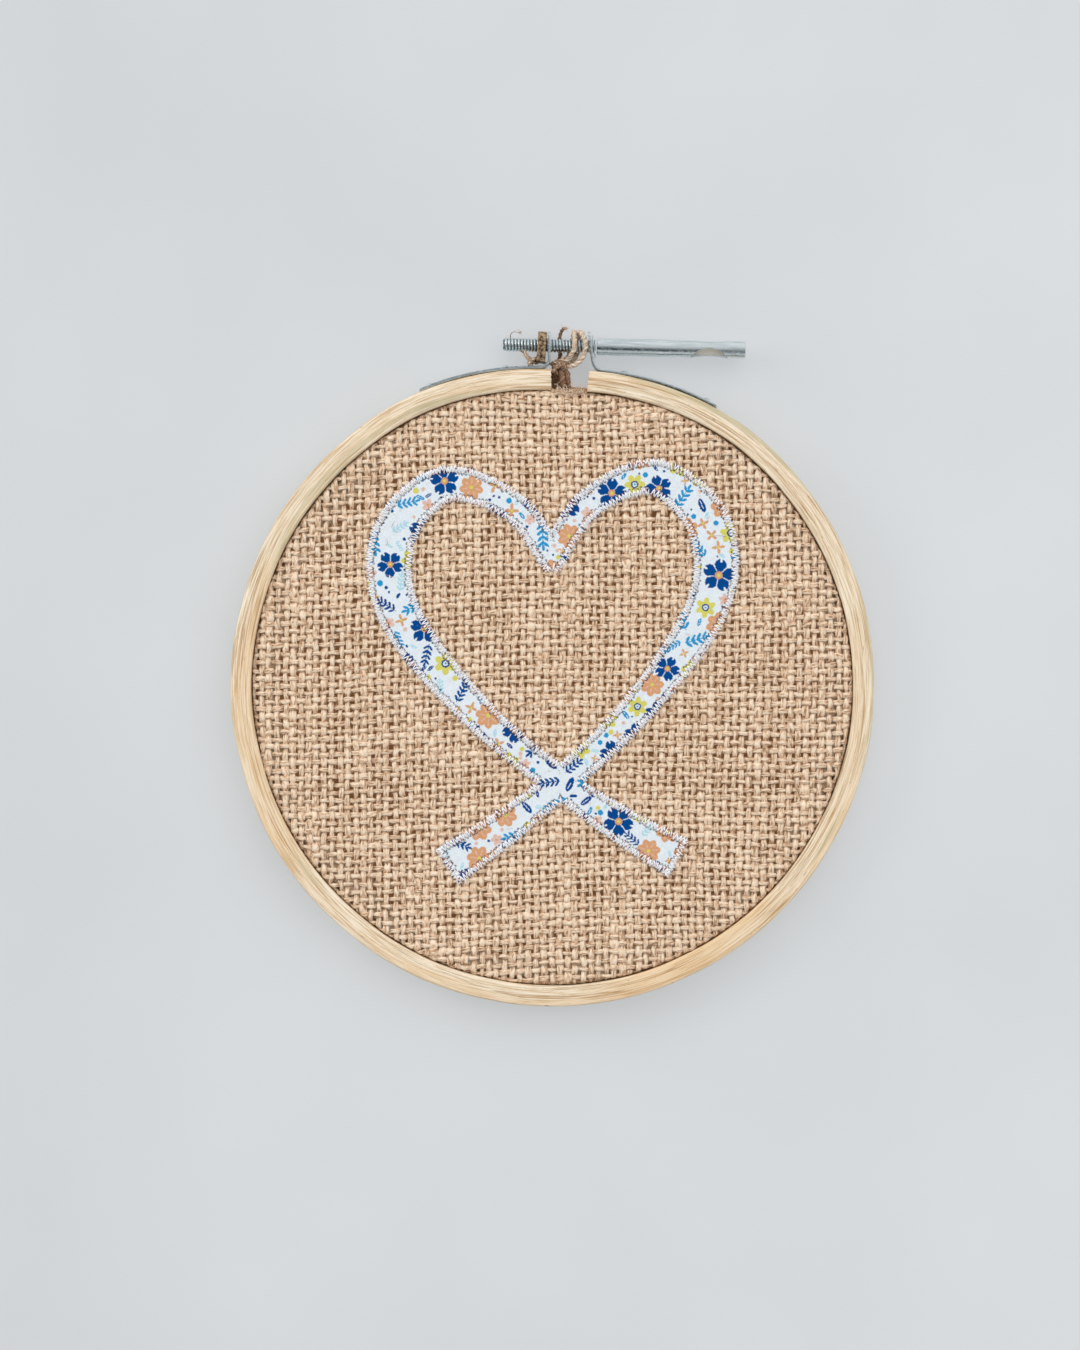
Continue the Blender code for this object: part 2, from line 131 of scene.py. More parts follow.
def smooth_path(points, steps):
    """Points along a smooth curve through the given ones (Catmull-Rom)."""
    given = np.array(points, dtype=float)
    ends = np.vstack([2 * given[0] - given[1], given, 2 * given[-1] - given[-2]])
    result = []
    for a, b, c, d in zip(ends, ends[1:], ends[2:], ends[3:]):
        for step in range(steps):
            t = step / steps
            result.append(0.5 * (2 * b + (c - a) * t + (2 * a - 5 * b + 4 * c - d) * t * t
                                 + (3 * b - a - 3 * c + d) * t ** 3))
    result.append(given[-1])
    return np.array(result)


def evenly(path, step):
    """The same path with points a fixed step apart."""
    lengths = lengths_along(path)
    count = max(int(round(lengths[-1] / step)), 2)
    at = np.linspace(0.0, lengths[-1], count + 1)
    return np.stack([np.interp(at, lengths, path[:, axis]) for axis in range(path.shape[1])], 1)


# Meshes and pieces

def tube_faces(rings, sides, capped=False, around=True, joined=False):
    """Quads between rings of points; the rings may close and the ends be capped or joined."""
    ring, side = np.meshgrid(np.arange(rings if joined else rings - 1),
                             np.arange(sides if around else sides - 1), indexing="ij")
    next_side = (side + 1) % sides
    next_ring = (ring + 1) % rings
    quads = np.stack([ring * sides + side, ring * sides + next_side,
                      next_ring * sides + next_side, next_ring * sides + side], axis=-1)
    faces = quads.reshape(-1, 4).tolist()
    if capped:
        faces.append(list(range(sides))[::-1])
        faces.append([(rings - 1) * sides + corner for corner in range(sides)])
    return faces


def mark(mesh, name, values):
    """Give a mesh a named number, vector or colour for each vertex."""
    kind, field = {1: ("FLOAT", "value"), 3: ("FLOAT_VECTOR", "vector"),
                   4: ("FLOAT_COLOR", "color")}[values.size // len(mesh.vertices)]
    mesh.attributes.new(name, kind, "POINT").data.foreach_set(field, values.ravel())


def linked(name, data):
    """A new object in the scene."""
    thing = bpy.data.objects.new(name, data)
    bpy.context.scene.collection.objects.link(thing)
    return thing


def place_piece(name, mesh, material, replaced=()):
    """Link a mesh as a piece that rides on the hoop and may stand for CAD nodes."""
    mesh.materials.clear()
    mesh.materials.append(material)
    piece = linked(name, mesh)
    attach(piece, "root")
    if replaced:
        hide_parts(*replaced)
    return piece


class Shape:
    """Collects vertices and faces, with named values for each vertex."""

    def __init__(self):
        self.points = []
        self.faces = []
        self.values = {}
        self.count = 0

    def add(self, points, faces, **values):
        """Add one part; its faces count from its own first vertex."""
        self.points.append(points)
        self.faces.extend([[self.count + corner for corner in face] for face in faces])
        for name, value in values.items():
            self.values.setdefault(name, []).append(value)
        self.count += len(points)

    def add_strand(self, path, across, wide, thick, sides, reached, number, tone, lumps=0.0):
        """Add a tube of yarn or thread; its tone comes from a function called after its lumps."""
        points, faces = sweep(path, across, wide, thick, sides, lumps)
        rows = len(path)
        place = np.stack([np.repeat(reached, sides), np.tile(np.arange(sides) / sides, rows),
                          np.full(rows * sides, number)], 1)
        self.add(points, faces, tone=np.repeat(tone() * np.ones(rows), sides), strand=place)

    def make(self, name, material, replaced=()):
        """Turn what was collected into one smooth piece that rides on the hoop."""
        mesh = bpy.data.meshes.new(name)
        mesh.from_pydata((np.concatenate(self.points) + CENTRE).tolist(), [], self.faces)
        for key, parts in self.values.items():
            mark(mesh, key, np.concatenate(parts))
        mesh.shade_smooth()
        return place_piece(name, mesh, material, replaced)


def sweep(path, across, half_wide, half_thick, sides, lumps=0.0):
    """Vertices of a tube of oval, perhaps lumpy, section along a path, with its faces."""
    along = headings(path)
    across = unit(across - along * np.sum(across * along, axis=1, keepdims=True))
    up = np.cross(along, across)
    angles = math.tau * (np.arange(sides) + 0.5) / sides
    each = np.ones(len(path))
    uneven = 1.0 + (random.normal(0, lumps, (len(path), sides)) if lumps else 0.0)
    wide = (np.cos(angles)[None, :] * (half_wide * each)[:, None] * uneven)[..., None]
    thick = (np.sin(angles)[None, :] * (half_thick * each)[:, None] * uneven)[..., None]
    points = path[:, None, :] + across[:, None, :] * wide + up[:, None, :] * thick
    return points.reshape(-1, 3), tube_faces(len(path), sides, capped=True)


# Materials; in ramps and mixes a single number is a grey

def opaque(colour):
    """A colour or a grey with its alpha."""
    return (*colour, 1.0) if isinstance(colour, tuple) else (colour, colour, colour, 1.0)


def feed(node, inputs):
    """Give a node's inputs a socket to follow, a number, a vector or a colour."""
    for key, value in inputs.items():
        socket = node.inputs[key]
        if isinstance(value, bpy.types.NodeSocket):
            node.id_data.links.new(value, socket)
        else:
            socket.default_value = opaque(value) if socket.type == "RGBA" else value


def add_node(tree, kind, inputs=None, **settings):
    """A new shader node with its settings and inputs."""
    node = tree.nodes.new("ShaderNode" + kind)
    for name, value in settings.items():
        setattr(node, name, value)
    feed(node, inputs or {})
    return node


def tree_of(*values):
    """The node tree of the first socket among values."""
    return next(value for value in values if isinstance(value, bpy.types.NodeSocket)).id_data


def attribute(tree, name, output):
    """A named vertex value."""
    return add_node(tree, "Attribute", attribute_name=name).outputs[output]


def object_place(tree):
    """The place on the object, in metres."""
    return add_node(tree, "TexCoord").outputs["Object"]


def noise(vector, factors, detail=2.0, roughness=0.5):
    """Noise read at a vector that is multiplied by a factor for each axis."""
    tree = vector.id_data
    place = add_node(tree, "VectorMath", {0: vector, 1: factors}, operation="MULTIPLY")
    return add_node(tree, "TexNoise", {"Vector": place.outputs["Vector"], "Scale": 1.0,
                                       "Detail": detail, "Roughness": roughness}).outputs["Fac"]


def ramp(value, *stops):
    """A colour ramp from stops, each a place and a colour."""
    node = add_node(value.id_data, "ValToRGB", {"Fac": value})
    band = node.color_ramp
    while len(band.elements) < len(stops):
        band.elements.new(0.5)
    for element, (place, colour) in zip(band.elements, stops):
        element.position = place
        element.color = opaque(colour)
    return node.outputs["Color"]


def mixed(share, first, second, blend="MIX"):
    """Two colours mixed by a share."""
    return add_node(tree_of(share, first, second), "Mix", {"Factor": share, 6: first, 7: second},
                    data_type="RGBA", blend_type=blend).outputs[2]


def maths(operation, first, second):
    """One maths step between sockets or numbers."""
    return add_node(tree_of(first, second), "Math", {0: first, 1: second},
                    operation=operation).outputs[0]


def scaled(value, factor, start):
    """A value times a factor, plus a start."""
    return maths("ADD", maths("MULTIPLY", value, factor), start)


def bump(shader, height, distance, strength=1.0):
    """Relief from a height value."""
    node = add_node(shader.id_data, "Bump", {"Height": height, "Distance": distance,
                                             "Strength": strength})
    feed(shader, {"Normal": node.outputs["Normal"]})


def blend_with(shader, kind, share, inputs):
    """Mix a share of another shader into a material's surface."""
    tree = shader.id_data
    other = add_node(tree, kind, inputs)
    mix = add_node(tree, "MixShader", {"Fac": share, 1: shader.outputs["BSDF"],
                                       2: other.outputs["BSDF"]})
    feed(tree.nodes["Material Output"], {"Surface": mix.outputs["Shader"]})


def new_material(name, look, *colours):
    """A material whose nodes are set up by a look."""
    material = bpy.data.materials.new(name)
    material.use_nodes = True
    tree = material.node_tree
    look(tree, tree.nodes["Principled BSDF"], *colours)
    return material


def bamboo(tree, shader):
    """Pale bare bamboo: fine grain round the ring, tan, golden and grey-green streaks."""
    grain = attribute(tree, "grain", "Vector")
    fine = noise(grain, (85, 2500, 2500), 5.0, 0.75)
    base = ramp(noise(grain, (26, 420, 420), 3.0, 0.55), (0.36, srgb(218, 190, 152)),
                (0.48, srgb(234, 211, 178)), (0.60, srgb(236, 225, 200)))
    streaks = ramp(fine, (0.38, srgb(170, 132, 90)), (0.48, srgb(227, 203, 168)),
                   (0.57, srgb(252, 239, 220)))
    colour = mixed(0.65, base, streaks)
    for factors, tint, *stops in (
            ((15, 110, 110), srgb(232, 190, 134), (0.48, 0.0), (0.64, 0.5)),
            ((24, 1300, 700), srgb(174, 130, 74), (0.60, 0.0), (0.645, 0.85), (0.70, 0.15)),
            ((19, 330, 330), srgb(184, 176, 138), (0.60, 0.0), (0.70, 0.65)),
            ((380, 1500, 1500), srgb(136, 106, 70), (0.70, 0.0), (0.76, 0.6))):
        colour = mixed(ramp(noise(grain, factors), *stops), colour, tint)
    feed(shader, {"Base Color": colour, "Roughness": ramp(fine, (0.3, 0.62), (0.7, 0.45))})
    bump(shader, fine, 0.00015, 0.7)


def jute(tree, shader, dark, middle, light):
    """Jute yarn: fibres along the strand, lighter and darker by tone, turned towards a painted shade
    brown below nought.
    """
    strand = attribute(tree, "strand", "Vector")
    tone = attribute(tree, "tone", "Fac")
    fibres = noise(strand, (600, 7.2, 40), 4.0, 0.65)
    blotches = noise(strand, (110, 0.8, 7), 3.0, 0.6)
    value = scaled(ramp(fibres, (0.34, 0.0), (0.66, 1.0)), 0.74, maths("MULTIPLY", blotches, 0.24))
    value = maths("ADD", value, maths("MULTIPLY", tone, 0.36))
    value = maths("SUBTRACT", value, 0.145)
    colour = ramp(value, (0.24, dark), (0.48, middle), (0.72, light))
    # Painted shade: below nought the tone mixes the yarn towards a shaded brown, used on the twine's
    # tucked and hidden strands; the dark loose fibres take it too
    colour = mixed(maths("MULTIPLY", tone, -1.2), colour, srgb(172, 136, 112))
    feed(shader, {"Base Color": colour, "Roughness": 0.85, "Specular IOR Level": 0.15})
    bump(shader, fibres, 0.0004)
    blend_with(shader, "BsdfTranslucent", 0.05, {"Color": colour})


def printed_cotton(tree, shader):
    """White cotton with its print held in vertex colours, and a fine plain weave."""
    weave = noise(object_place(tree), (2600, 2600, 2600))
    colour = mixed(1.0, attribute(tree, "print", "Color"), ramp(weave, (0.3, 0.86), (0.7, 1.0)),
                   "MULTIPLY")
    feed(shader, {"Base Color": colour, "Roughness": 0.85, "Specular IOR Level": 0.08})
    bump(shader, weave, 0.0001, 0.5)


def white_thread(tree, shader):
    """White sewing thread with a few stitches tinted by what lies under them."""
    twist = noise(attribute(tree, "strand", "Vector"), (2500, 3.0, 30))
    white = ramp(twist, (0.3, srgb(248, 245, 246)), (0.7, srgb(255, 255, 255)))
    tint = ramp(attribute(tree, "tone", "Fac"), (0.0, srgb(26, 28, 72)),
                (0.11, srgb(140, 84, 70)), (0.18, srgb(240, 206, 190)), (0.24, srgb(255, 254, 255)))
    feed(shader, {"Base Color": mixed(1.0, white, tint, "MULTIPLY"), "Roughness": 0.5,
                  "Sheen Weight": 0.2})


def zinc_plate(tree, shader):
    """Bright zinc plating, streaked; darker where its vertices are marked, for dull plating and for
    painted shade and reflection; matt and painted nearly white where bare, a painted light.
    """
    place = object_place(tree)
    bare = attribute(tree, "bare", "Fac")
    streaks = noise(place, (160, 1900, 1900), 4.0, 0.65)
    speckle = noise(place, (1100, 2300, 2300), 2.0, 0.6)
    # The marked darkening, broken up by speckle: dull plating and the barrel's seam, painted shade in
    # the rod's thread roots, a partly painted reflection on the barrel and painted shadow on the
    # straps' edges
    patchy = maths("MULTIPLY", attribute(tree, "dull_and_shade", "Fac"), scaled(speckle, 3.0, -0.65))
    colour = ramp(streaks, (0.3, srgb(198, 210, 212)), (0.7, srgb(244, 250, 252)))
    colour = mixed(patchy, colour, srgb(84, 104, 110))
    # The bore's near-white matt colour is painted light that lifts the shade inside the barrel
    feed(shader, {"Base Color": mixed(bare, colour, srgb(250, 247, 238)),
                  "Metallic": maths("SUBTRACT", 1.0, bare),
                  "Roughness": ramp(noise(place, (500, 500, 500)), (0.3, 0.2), (0.7, 0.36))})
    bump(shader, streaks, 0.00005, 0.4)


def speckled_nut(tree, shader):
    """Brown speckled plating of the nut."""
    specks = noise(object_place(tree), (1300, 1300, 1300), 3.0, 0.7)
    colour = ramp(specks, (0.40, srgb(56, 42, 30)), (0.48, srgb(134, 108, 80)),
                  (0.66, srgb(194, 170, 136)))
    feed(shader, {"Base Color": colour, "Metallic": 0.4, "Roughness": 0.45})
    bump(shader, specks, 0.0001, 0.6)


# The stage: camera, wall, floor and light

# The share of the wall's brightness that it gives out as its own glow: painted light that keeps the
# shadows on it faint
WALL_GLOW = 0.55
WALL_GAP = 0.4 * MM
FLOOR_Z = -1.2


def add_camera():
    """Camera square on to the hoop, framed like the photograph."""
    data = bpy.data.cameras.new("camera")
    camera = linked("camera", data)
    camera.location = (CENTRE[0] + (FRAME_WIDTH_PX / 2 - HOOP_CENTRE_PX[0]) * PIXEL,
                       FRONT_Y - CAMERA_DISTANCE,
                       CENTRE[2] + (HOOP_CENTRE_PX[1] - FRAME_HEIGHT_PX / 2) * PIXEL)
    camera.rotation_euler = (math.radians(90), 0.0, 0.0)
    data.sensor_fit = "VERTICAL"
    data.sensor_height = 24.0
    data.lens = data.sensor_height * CAMERA_DISTANCE / (FRAME_HEIGHT_PX * PIXEL)
    data.clip_start = 0.01
    bpy.context.scene.camera = camera


def glowing_wall_painted_shade(tree, shader):
    """Pale wall, seen from its front only, that lets light through; part of its brightness is its own
    glow, painted light that keeps its shadows faint.
    """
    place = object_place(tree)
    # Painted shade: the wall's colour runs slightly darker towards the left
    across = scaled(add_node(tree, "SeparateXYZ", {0: place}).outputs["X"], 3.0, 0.5)
    paint = ramp(noise(place, (9, 9, 9), 3.0), (0.3, srgb(212, 215, 217)),
                 (0.7, srgb(219, 222, 224)))
    paint = mixed(1.0, paint, ramp(across, (0.1, 0.945), (0.9, 1.0)), "MULTIPLY")
    # The lit share of the wall's colour; the painted glow gives the rest
    dimmed = mixed(1.0, paint, 1.0 - WALL_GLOW, "MULTIPLY")
    # Behind the cloth the wall is painted brown and glows a dim brown: painted shade, tinted like light
    # that has passed through the jute, seen in the cloth's gaps
    offset = add_node(tree, "VectorMath", {0: place, 1: (CENTRE[0], BACK_Y, CENTRE[2])},
                      operation="DISTANCE")
    painted_shade_disc = maths("LESS_THAN", offset.outputs["Value"], OUTER_BORE)
    feed(shader, {"Base Color": mixed(painted_shade_disc, dimmed, srgb(184, 140, 100)),
                  "Emission Color": mixed(painted_shade_disc, paint, srgb(56, 42, 30)),
                  "Emission Strength": WALL_GLOW, "Roughness": 0.95})
    behind = add_node(tree, "NewGeometry").outputs["Backfacing"]
    rays = add_node(tree, "LightPath").outputs
    passing = maths("MAXIMUM", rays["Is Shadow Ray"], rays["Is Diffuse Ray"])
    blend_with(shader, "BsdfTransparent", maths("MAXIMUM", behind, passing), {})


def floor_paint(tree, shader):
    """Pale floor."""
    feed(shader, {"Base Color": srgb(222, 225, 228), "Roughness": 0.9})


def flat_panel(name, low, high, material):
    """A rectangle of the stage between two corners that share one coordinate."""
    (x0, y0, z0), (x1, y1, z1) = low, high
    mesh = bpy.data.meshes.new(name)
    mesh.from_pydata([(x0, y0, z0), (x1, y0, z0), (x1, y1, z1), (x0, y1, z1)], [],
                     [[0, 1, 2, 3]])
    mesh.materials.append(material)
    linked(name, mesh)


def add_light(name, offset, size, power, colour=(1.0, 1.0, 1.0)):
    """A square soft light at an offset from the hoop's centre, aimed at it."""
    data = bpy.data.lights.new(name, "AREA")
    data.shape = "SQUARE"
    data.size = size
    data.energy = power
    data.color = colour
    light = linked(name, data)
    aim = Vector(CENTRE)
    place = aim + Vector(offset)
    light.location = place
    light.rotation_euler = (aim - place).to_track_quat("-Z", "Y").to_euler()
    return light


def add_world():
    """A pale room: bright above, a dark band low down in front, plain behind the wall."""
    world = bpy.data.worlds.new("soft_room")
    bpy.context.scene.world = world
    world.use_nodes = True
    tree = world.node_tree
    place = add_node(tree, "TexCoord").outputs["Generated"]
    parts = add_node(tree, "SeparateXYZ", {0: place}).outputs
    front = ramp(scaled(parts["Z"], 0.5, 0.5), (0.0, 0.80), (0.12, 0.74), (0.22, 0.36),
                 (0.33, 0.36), (0.44, 0.62), (0.54, 0.88), (0.72, 1.15), (1.0, 1.35))
    colour = mixed(scaled(parts["Y"], 4.0, 0.4), front, 0.62)
    feed(tree.nodes["Background"], {"Strength": 0.60,
                                    "Color": mixed(1.0, colour, (0.985, 1.0, 1.02), "MULTIPLY")})


def add_stage():
    """Wall just behind the hoop, pale floor far below, and soft light from the left."""
    wall_y = BACK_Y + WALL_GAP
    flat_panel("wall", (-2.5, wall_y, FLOOR_Z), (2.5, wall_y, 2.5),
               new_material("glowing_wall_painted_shade", glowing_wall_painted_shade))
    flat_panel("floor", (-2.5, -1.1, FLOOR_Z), (2.5, 2.5, FLOOR_Z),
               new_material("floor_paint", floor_paint))
    add_light("window", (-1.45, -0.80, 0.55), 1.0, 9.5, (1.0, 0.985, 0.96))
    add_light("front", (0.7, -1.7, 0.8), 3.2, 31.0).visible_glossy = False
    add_world()
    bpy.context.scene.view_settings.view_transform = "Standard"


# The wooden rings

def ring_section(inner, outer, front, rounding):
    """Radius and depth points of a rectangle with round corners, finely stepped."""
    near, far = front + rounding, BACK_Y - rounding
    corners = [(outer - rounding, near), (outer - rounding, far), (inner + rounding, far),
               (inner + rounding, near)]
    points = []
    for quarter, (radius, depth) in enumerate(corners):
        for turn in range(0, 91, 18):
            angle = math.radians(90 * quarter - 90 + turn)
            points.append((radius + rounding * math.cos(angle), depth + rounding * math.sin(angle)))
    return np.array(points)


def wooden_ring(node, section, sweep_angle, steps, material):
    """A bent strip of wood, a little uneven, with its grain laid round the ring."""
    closed = sweep_angle >= 360
    angles = GAP_LEFT + sweep_angle * np.arange(steps + (0 if closed else 1)) / steps
    turn = np.radians(angles)
    wave = turn * HOOP_RADIUS
    if closed:
        uneven = 0.05 * MM * np.sin(3 * turn + 1.0)
    else:
        uneven = wobble(wave, 60 * MM, 0.07 * MM) + wobble(wave, 17 * MM, 0.03 * MM)
    across, depth = section.T[:, None, :]
    radius = across + uneven[:, None] - dip(angles % 360)[:, None]
    grain = np.stack(np.broadcast_arrays(wave[:, None], across, depth), -1)
    faces = tube_faces(len(angles), len(section), capped=not closed, joined=closed)
    shape = Shape()
    shape.add(round_hoop(radius, turn[:, None], depth).reshape(-1, 3),
              [face[::-1] for face in faces], grain=grain.reshape(-1, 3))
    piece = shape.make(node + "_wood", material, [node])
    piece.data.set_sharp_from_angle(angle=math.radians(50))


# The burlap

PITCH_X = 1.97 * MM
PITCH_Z = 1.95 * MM
WEAVE_MIDDLE_Y = CLOTH_FRONT_Y + 0.40 * MM
WEAVE_SWING = 0.42 * MM
WARP_HALF_WIDE = 0.81 * MM
WEFT_HALF_WIDE = 0.63 * MM
YARN_HALF_THICK = 0.41 * MM
YARN_STEP = 0.575 * MM
YARN_SIDES = 6
MARGIN_SWING = 0.26 * MM
MARGIN_HALF_THICK = 0.3 * MM
RIM_RADIUS = CLOTH_RADIUS - 0.38 * MM
RIM_BEND = 0.55 * MM
RIM_EXTRA = 1.6 * MM
CLOTH_REACH = RIM_RADIUS + RIM_EXTRA
LOOSE_FIBRES = 5200
FRINGE_FIBRES = 130


def pulled(flat_x, flat_z):
    """Where a point of the flat weave lies once the cloth has been stretched a bit unevenly."""
    x = flat_x + 0.55 * MM * np.sin(flat_z / (46 * MM) + 0.7) + 0.30 * MM * np.sin(
        flat_z / (17 * MM) + flat_x / (40 * MM))
    z = flat_z + 0.020 * flat_x + 0.80 * MM * np.sin(flat_x / (34 * MM) + 1.2) + 0.35 * MM * np.sin(
        flat_x / (15 * MM) + flat_z / (30 * MM) + 2.0)
    return x, z


def laid_on_hoop(x, z, lift):
    """Lay points of the cloth over the inner ring's rim, lifted off its middle surface."""
    radius = np.hypot(x, z)
    angle = np.degrees(np.arctan2(z, x)) % 360
    over = radius - (RIM_RADIUS - RIM_BEND)
    bend = np.clip(over / RIM_BEND, 0.0, math.pi / 2)
    past = np.maximum(over - RIM_BEND * math.pi / 2, 0.0)
    share = np.clip((radius - 55 * MM) / (18 * MM), 0.0, 1.0)
    laid = np.where(over > 0, RIM_RADIUS - RIM_BEND + RIM_BEND * np.sin(bend), radius)
    laid = laid - share * dip(angle) + lift * np.sin(bend)
    depth = WEAVE_MIDDLE_Y + RIM_BEND * (1 - np.cos(bend)) + past - lift * np.cos(bend)
    turn = np.radians(angle)
    return round_hoop(laid, turn, depth), round_hoop(np.sin(bend), turn, -np.cos(bend))


def slubs(along):
    """Thick and thin stretches of a hand-spun yarn."""
    swell = 1.0 + wobble(along, 16 * MM, 0.13) + wobble(along, 3.5 * MM, 0.08)
    for _ in range(random.integers(0, 3)):
        middle = random.uniform(along[0], along[-1])
        swell += random.uniform(0.2, 0.5) * np.exp(-((along - middle) / (5 * MM)) ** 2)
    return np.clip(swell, 0.62, 1.6)


def woven_set(name, upright, material):
    """All the yarns of one direction, each passing over and under the others."""
    shape = Shape()
    pitch, other_pitch = (PITCH_X, PITCH_Z) if upright else (PITCH_Z, PITCH_X)
    half_wide, way, first = (WARP_HALF_WIDE, 1, 0) if upright else (WEFT_HALF_WIDE, -1, 200)
    along = np.arange(-CLOTH_REACH - 2 * MM, CLOTH_REACH + 2 * MM, YARN_STEP)
    for index in range(-40, 41):
        drift = (random.normal(0, 0.11 * MM) + wobble(along, 22 * MM, 0.12 * MM)
                 + wobble(along, 7 * MM, 0.08 * MM) + wobble(along, 2.6 * MM, 0.045 * MM))
        side = index * pitch + drift
        x, z = pulled(side, along) if upright else pulled(along, side)
        inside = np.hypot(x, z) < CLOTH_REACH
        if inside.sum() < 6:
            continue
        x, z, reached = x[inside], z[inside], along[inside]
        swing = WEAVE_SWING * way * np.cos(math.pi * (reached / other_pitch + index))
        flatter = np.where(np.hypot(x, z) > RIM_RADIUS - 0.4 * MM, 0.35, 1.0)
        path, normal = laid_on_hoop(x, z, flatter * swing)
        swell = slubs(reached)
        wide = half_wide * swell * random.uniform(0.80, 1.16)
        # The tone rises where a yarn passes over a crossing and falls where it dips under: painted
        # shade between the yarns
        shape.add_strand(path, np.cross(np.gradient(path, axis=0), normal), wide,
                         YARN_HALF_THICK * np.sqrt(swell), YARN_SIDES, reached, index * 1.7 + first,
                         lambda: random.normal(0.5, 0.06) + wobble(reached, 12 * MM, 0.07)
                         + 0.28 * (swing / WEAVE_SWING), 0.09)
    return shape.make(name, material, ["burlap_panel"] if upright else ())


def burlap_margin(material):
    """The cloth's margin between the rings: yarn ends at the back, and a woven patch in the gap."""
    shape = Shape()
    count = int(round(math.tau * RIM_RADIUS / PITCH_X))
    trim_y = BACK_Y - 0.7 * MM
    for index in range(count):
        angle = 360 * index / count
        in_gap = GAP_RIGHT - 2.0 < angle < GAP_LEFT + 2.0
        start_y = WEAVE_MIDDLE_Y + 2.2 * MM if in_gap else BACK_Y - 3.4 * MM
        depth = np.arange(start_y, trim_y + random.uniform(-0.5, 0.35) * MM, 0.5 * MM)
        radius = RIM_RADIUS - dip(angle) + MARGIN_SWING * np.cos(math.pi * (depth / PITCH_Z + index))
        turn = math.radians(angle)
        path = round_hoop(radius, turn + wobble(depth, 9 * MM, 0.0012), depth)
        across = np.array([-math.sin(turn), 0.0, math.cos(turn)])
        shape.add_strand(path, across, 0.52 * MM * random.uniform(0.8, 1.15), MARGIN_HALF_THICK,
                         YARN_SIDES, depth, index * 2.3 + 500, lambda: random.normal(0.5, 0.15))
    for row, row_y in enumerate(np.arange(WEAVE_MIDDLE_Y + 3.0 * MM, trim_y - 0.3 * MM, PITCH_Z)):
        whole = row_y > BACK_Y - 3.2 * MM
        angles = np.arange(*((0.0, 360.0) if whole else (GAP_RIGHT - 3.0, GAP_LEFT + 3.0)), 0.42)
        radius = (RIM_RADIUS - dip(angles)
                  - MARGIN_SWING * np.cos(math.pi * (angles / 360 * count + row)))
        turn = np.radians(angles)
        reached = turn * RIM_RADIUS
        path = round_hoop(radius, turn, row_y + wobble(reached, 30 * MM, 0.12 * MM))
        shape.add_strand(path, np.array([0.0, 1.0, 0.0]), 0.5 * MM, MARGIN_HALF_THICK, YARN_SIDES,
                         reached, row * 3.1 + 900, lambda: 0.5)
    return shape.make("burlap_margin", material)


def add_hair(shape, root, direction, lengths, radii, curl, number, dark_share=0.25):
    """One fine loose fibre from a root, with its sizes in millimetres; a share of them is dark."""
    length = random.uniform(*lengths) * MM
    radius = (random.uniform(*radii) if isinstance(radii, tuple) else radii) * MM
    bend = random.uniform(-curl, curl)
    direction = unit(direction)
    steps = np.linspace(0.0, 1.0, 5)[:, None]
    sideways = unit(np.cross(direction, random.normal(size=3)))
    path = root + direction * steps * length + sideways * bend * length * np.sin(steps * 2.2) ** 2
    thin = radius * np.linspace(1.0, 0.45, 5)
    points, faces = sweep(path, sideways + 0.01, thin, thin, 3)
    tone = -0.6 if random.uniform() < dark_share else random.uniform(0.4, 1.5)
    shape.add(points, faces, tone=np.full(len(points), tone),
              strand=np.tile([0.0, 0.0, number * 0.37], (len(points), 1)))


def turned_way(spread):
    """A random direction near one axis of the weave, with a given spread."""
    turn = random.choice([0.0, math.pi / 2]) + random.normal(0, spread)
    return np.array([math.cos(turn), 0.0, math.sin(turn)]) * random.choice([-1, 1])


def burlap_fuzz(material):
    """Loose fibres that lie along the yarns and in the gaps, and stand up at the gap's foot."""
    shape = Shape()
    for number in range(LOOSE_FIBRES):
        turn = random.uniform(0, math.tau)
        radius = 73.4 * MM * math.sqrt(random.uniform(0, 1))
        above = random.uniform(-0.45, 0.70) * MM
        direction = turned_way(0.45)
        direction[1] = -abs(random.normal(0.0, 0.14)) if above > 0.4 * MM else 0.0
        add_hair(shape, round_hoop(radius, turn, WEAVE_MIDDLE_Y - above), direction, (1.0, 3.6),
                 (0.035, 0.08), 0.3, number)
    for number in range(FRINGE_FIBRES):
        angle = random.uniform(GAP_RIGHT + 0.2, GAP_LEFT - 0.2)
        root = hoop_point(RIM_RADIUS + 0.2 * MM, angle,
                          WEAVE_MIDDLE_Y + random.uniform(-0.5, 0.5) * MM)
        direction = np.array([random.normal(0.0, 0.9), random.uniform(-1.0, -0.1),
                              random.uniform(0.1, 0.9)])
        add_hair(shape, root, direction, (0.8, 2.4), (0.07, 0.12), 1.2, number, 0.0)
    return shape.make("burlap_fuzz", material)


# The cotton motif: the points of one half's centre line, each with its width

MOTIF_MIDDLE = (1.0 * MM, 2.5 * MM)
MOTIF_LEAN = math.radians(-2.0)
MOTIF_HALF = [(-0.029, -0.047, 0.0102), (-0.0155, -0.0385, 0.0088), (0.0, -0.027, 0.0072),
              (0.020, -0.009, 0.0082), (0.0385, 0.016, 0.0105), (0.0395, 0.036, 0.0110),
              (0.0265, 0.0485, 0.0088), (0.0095, 0.0425, 0.0072), (-0.0012, 0.0275, 0.0066)]
COTTON_Y = WEAVE_MIDDLE_Y - 0.95 * MM
COTTON_GRID = 0.21 * MM


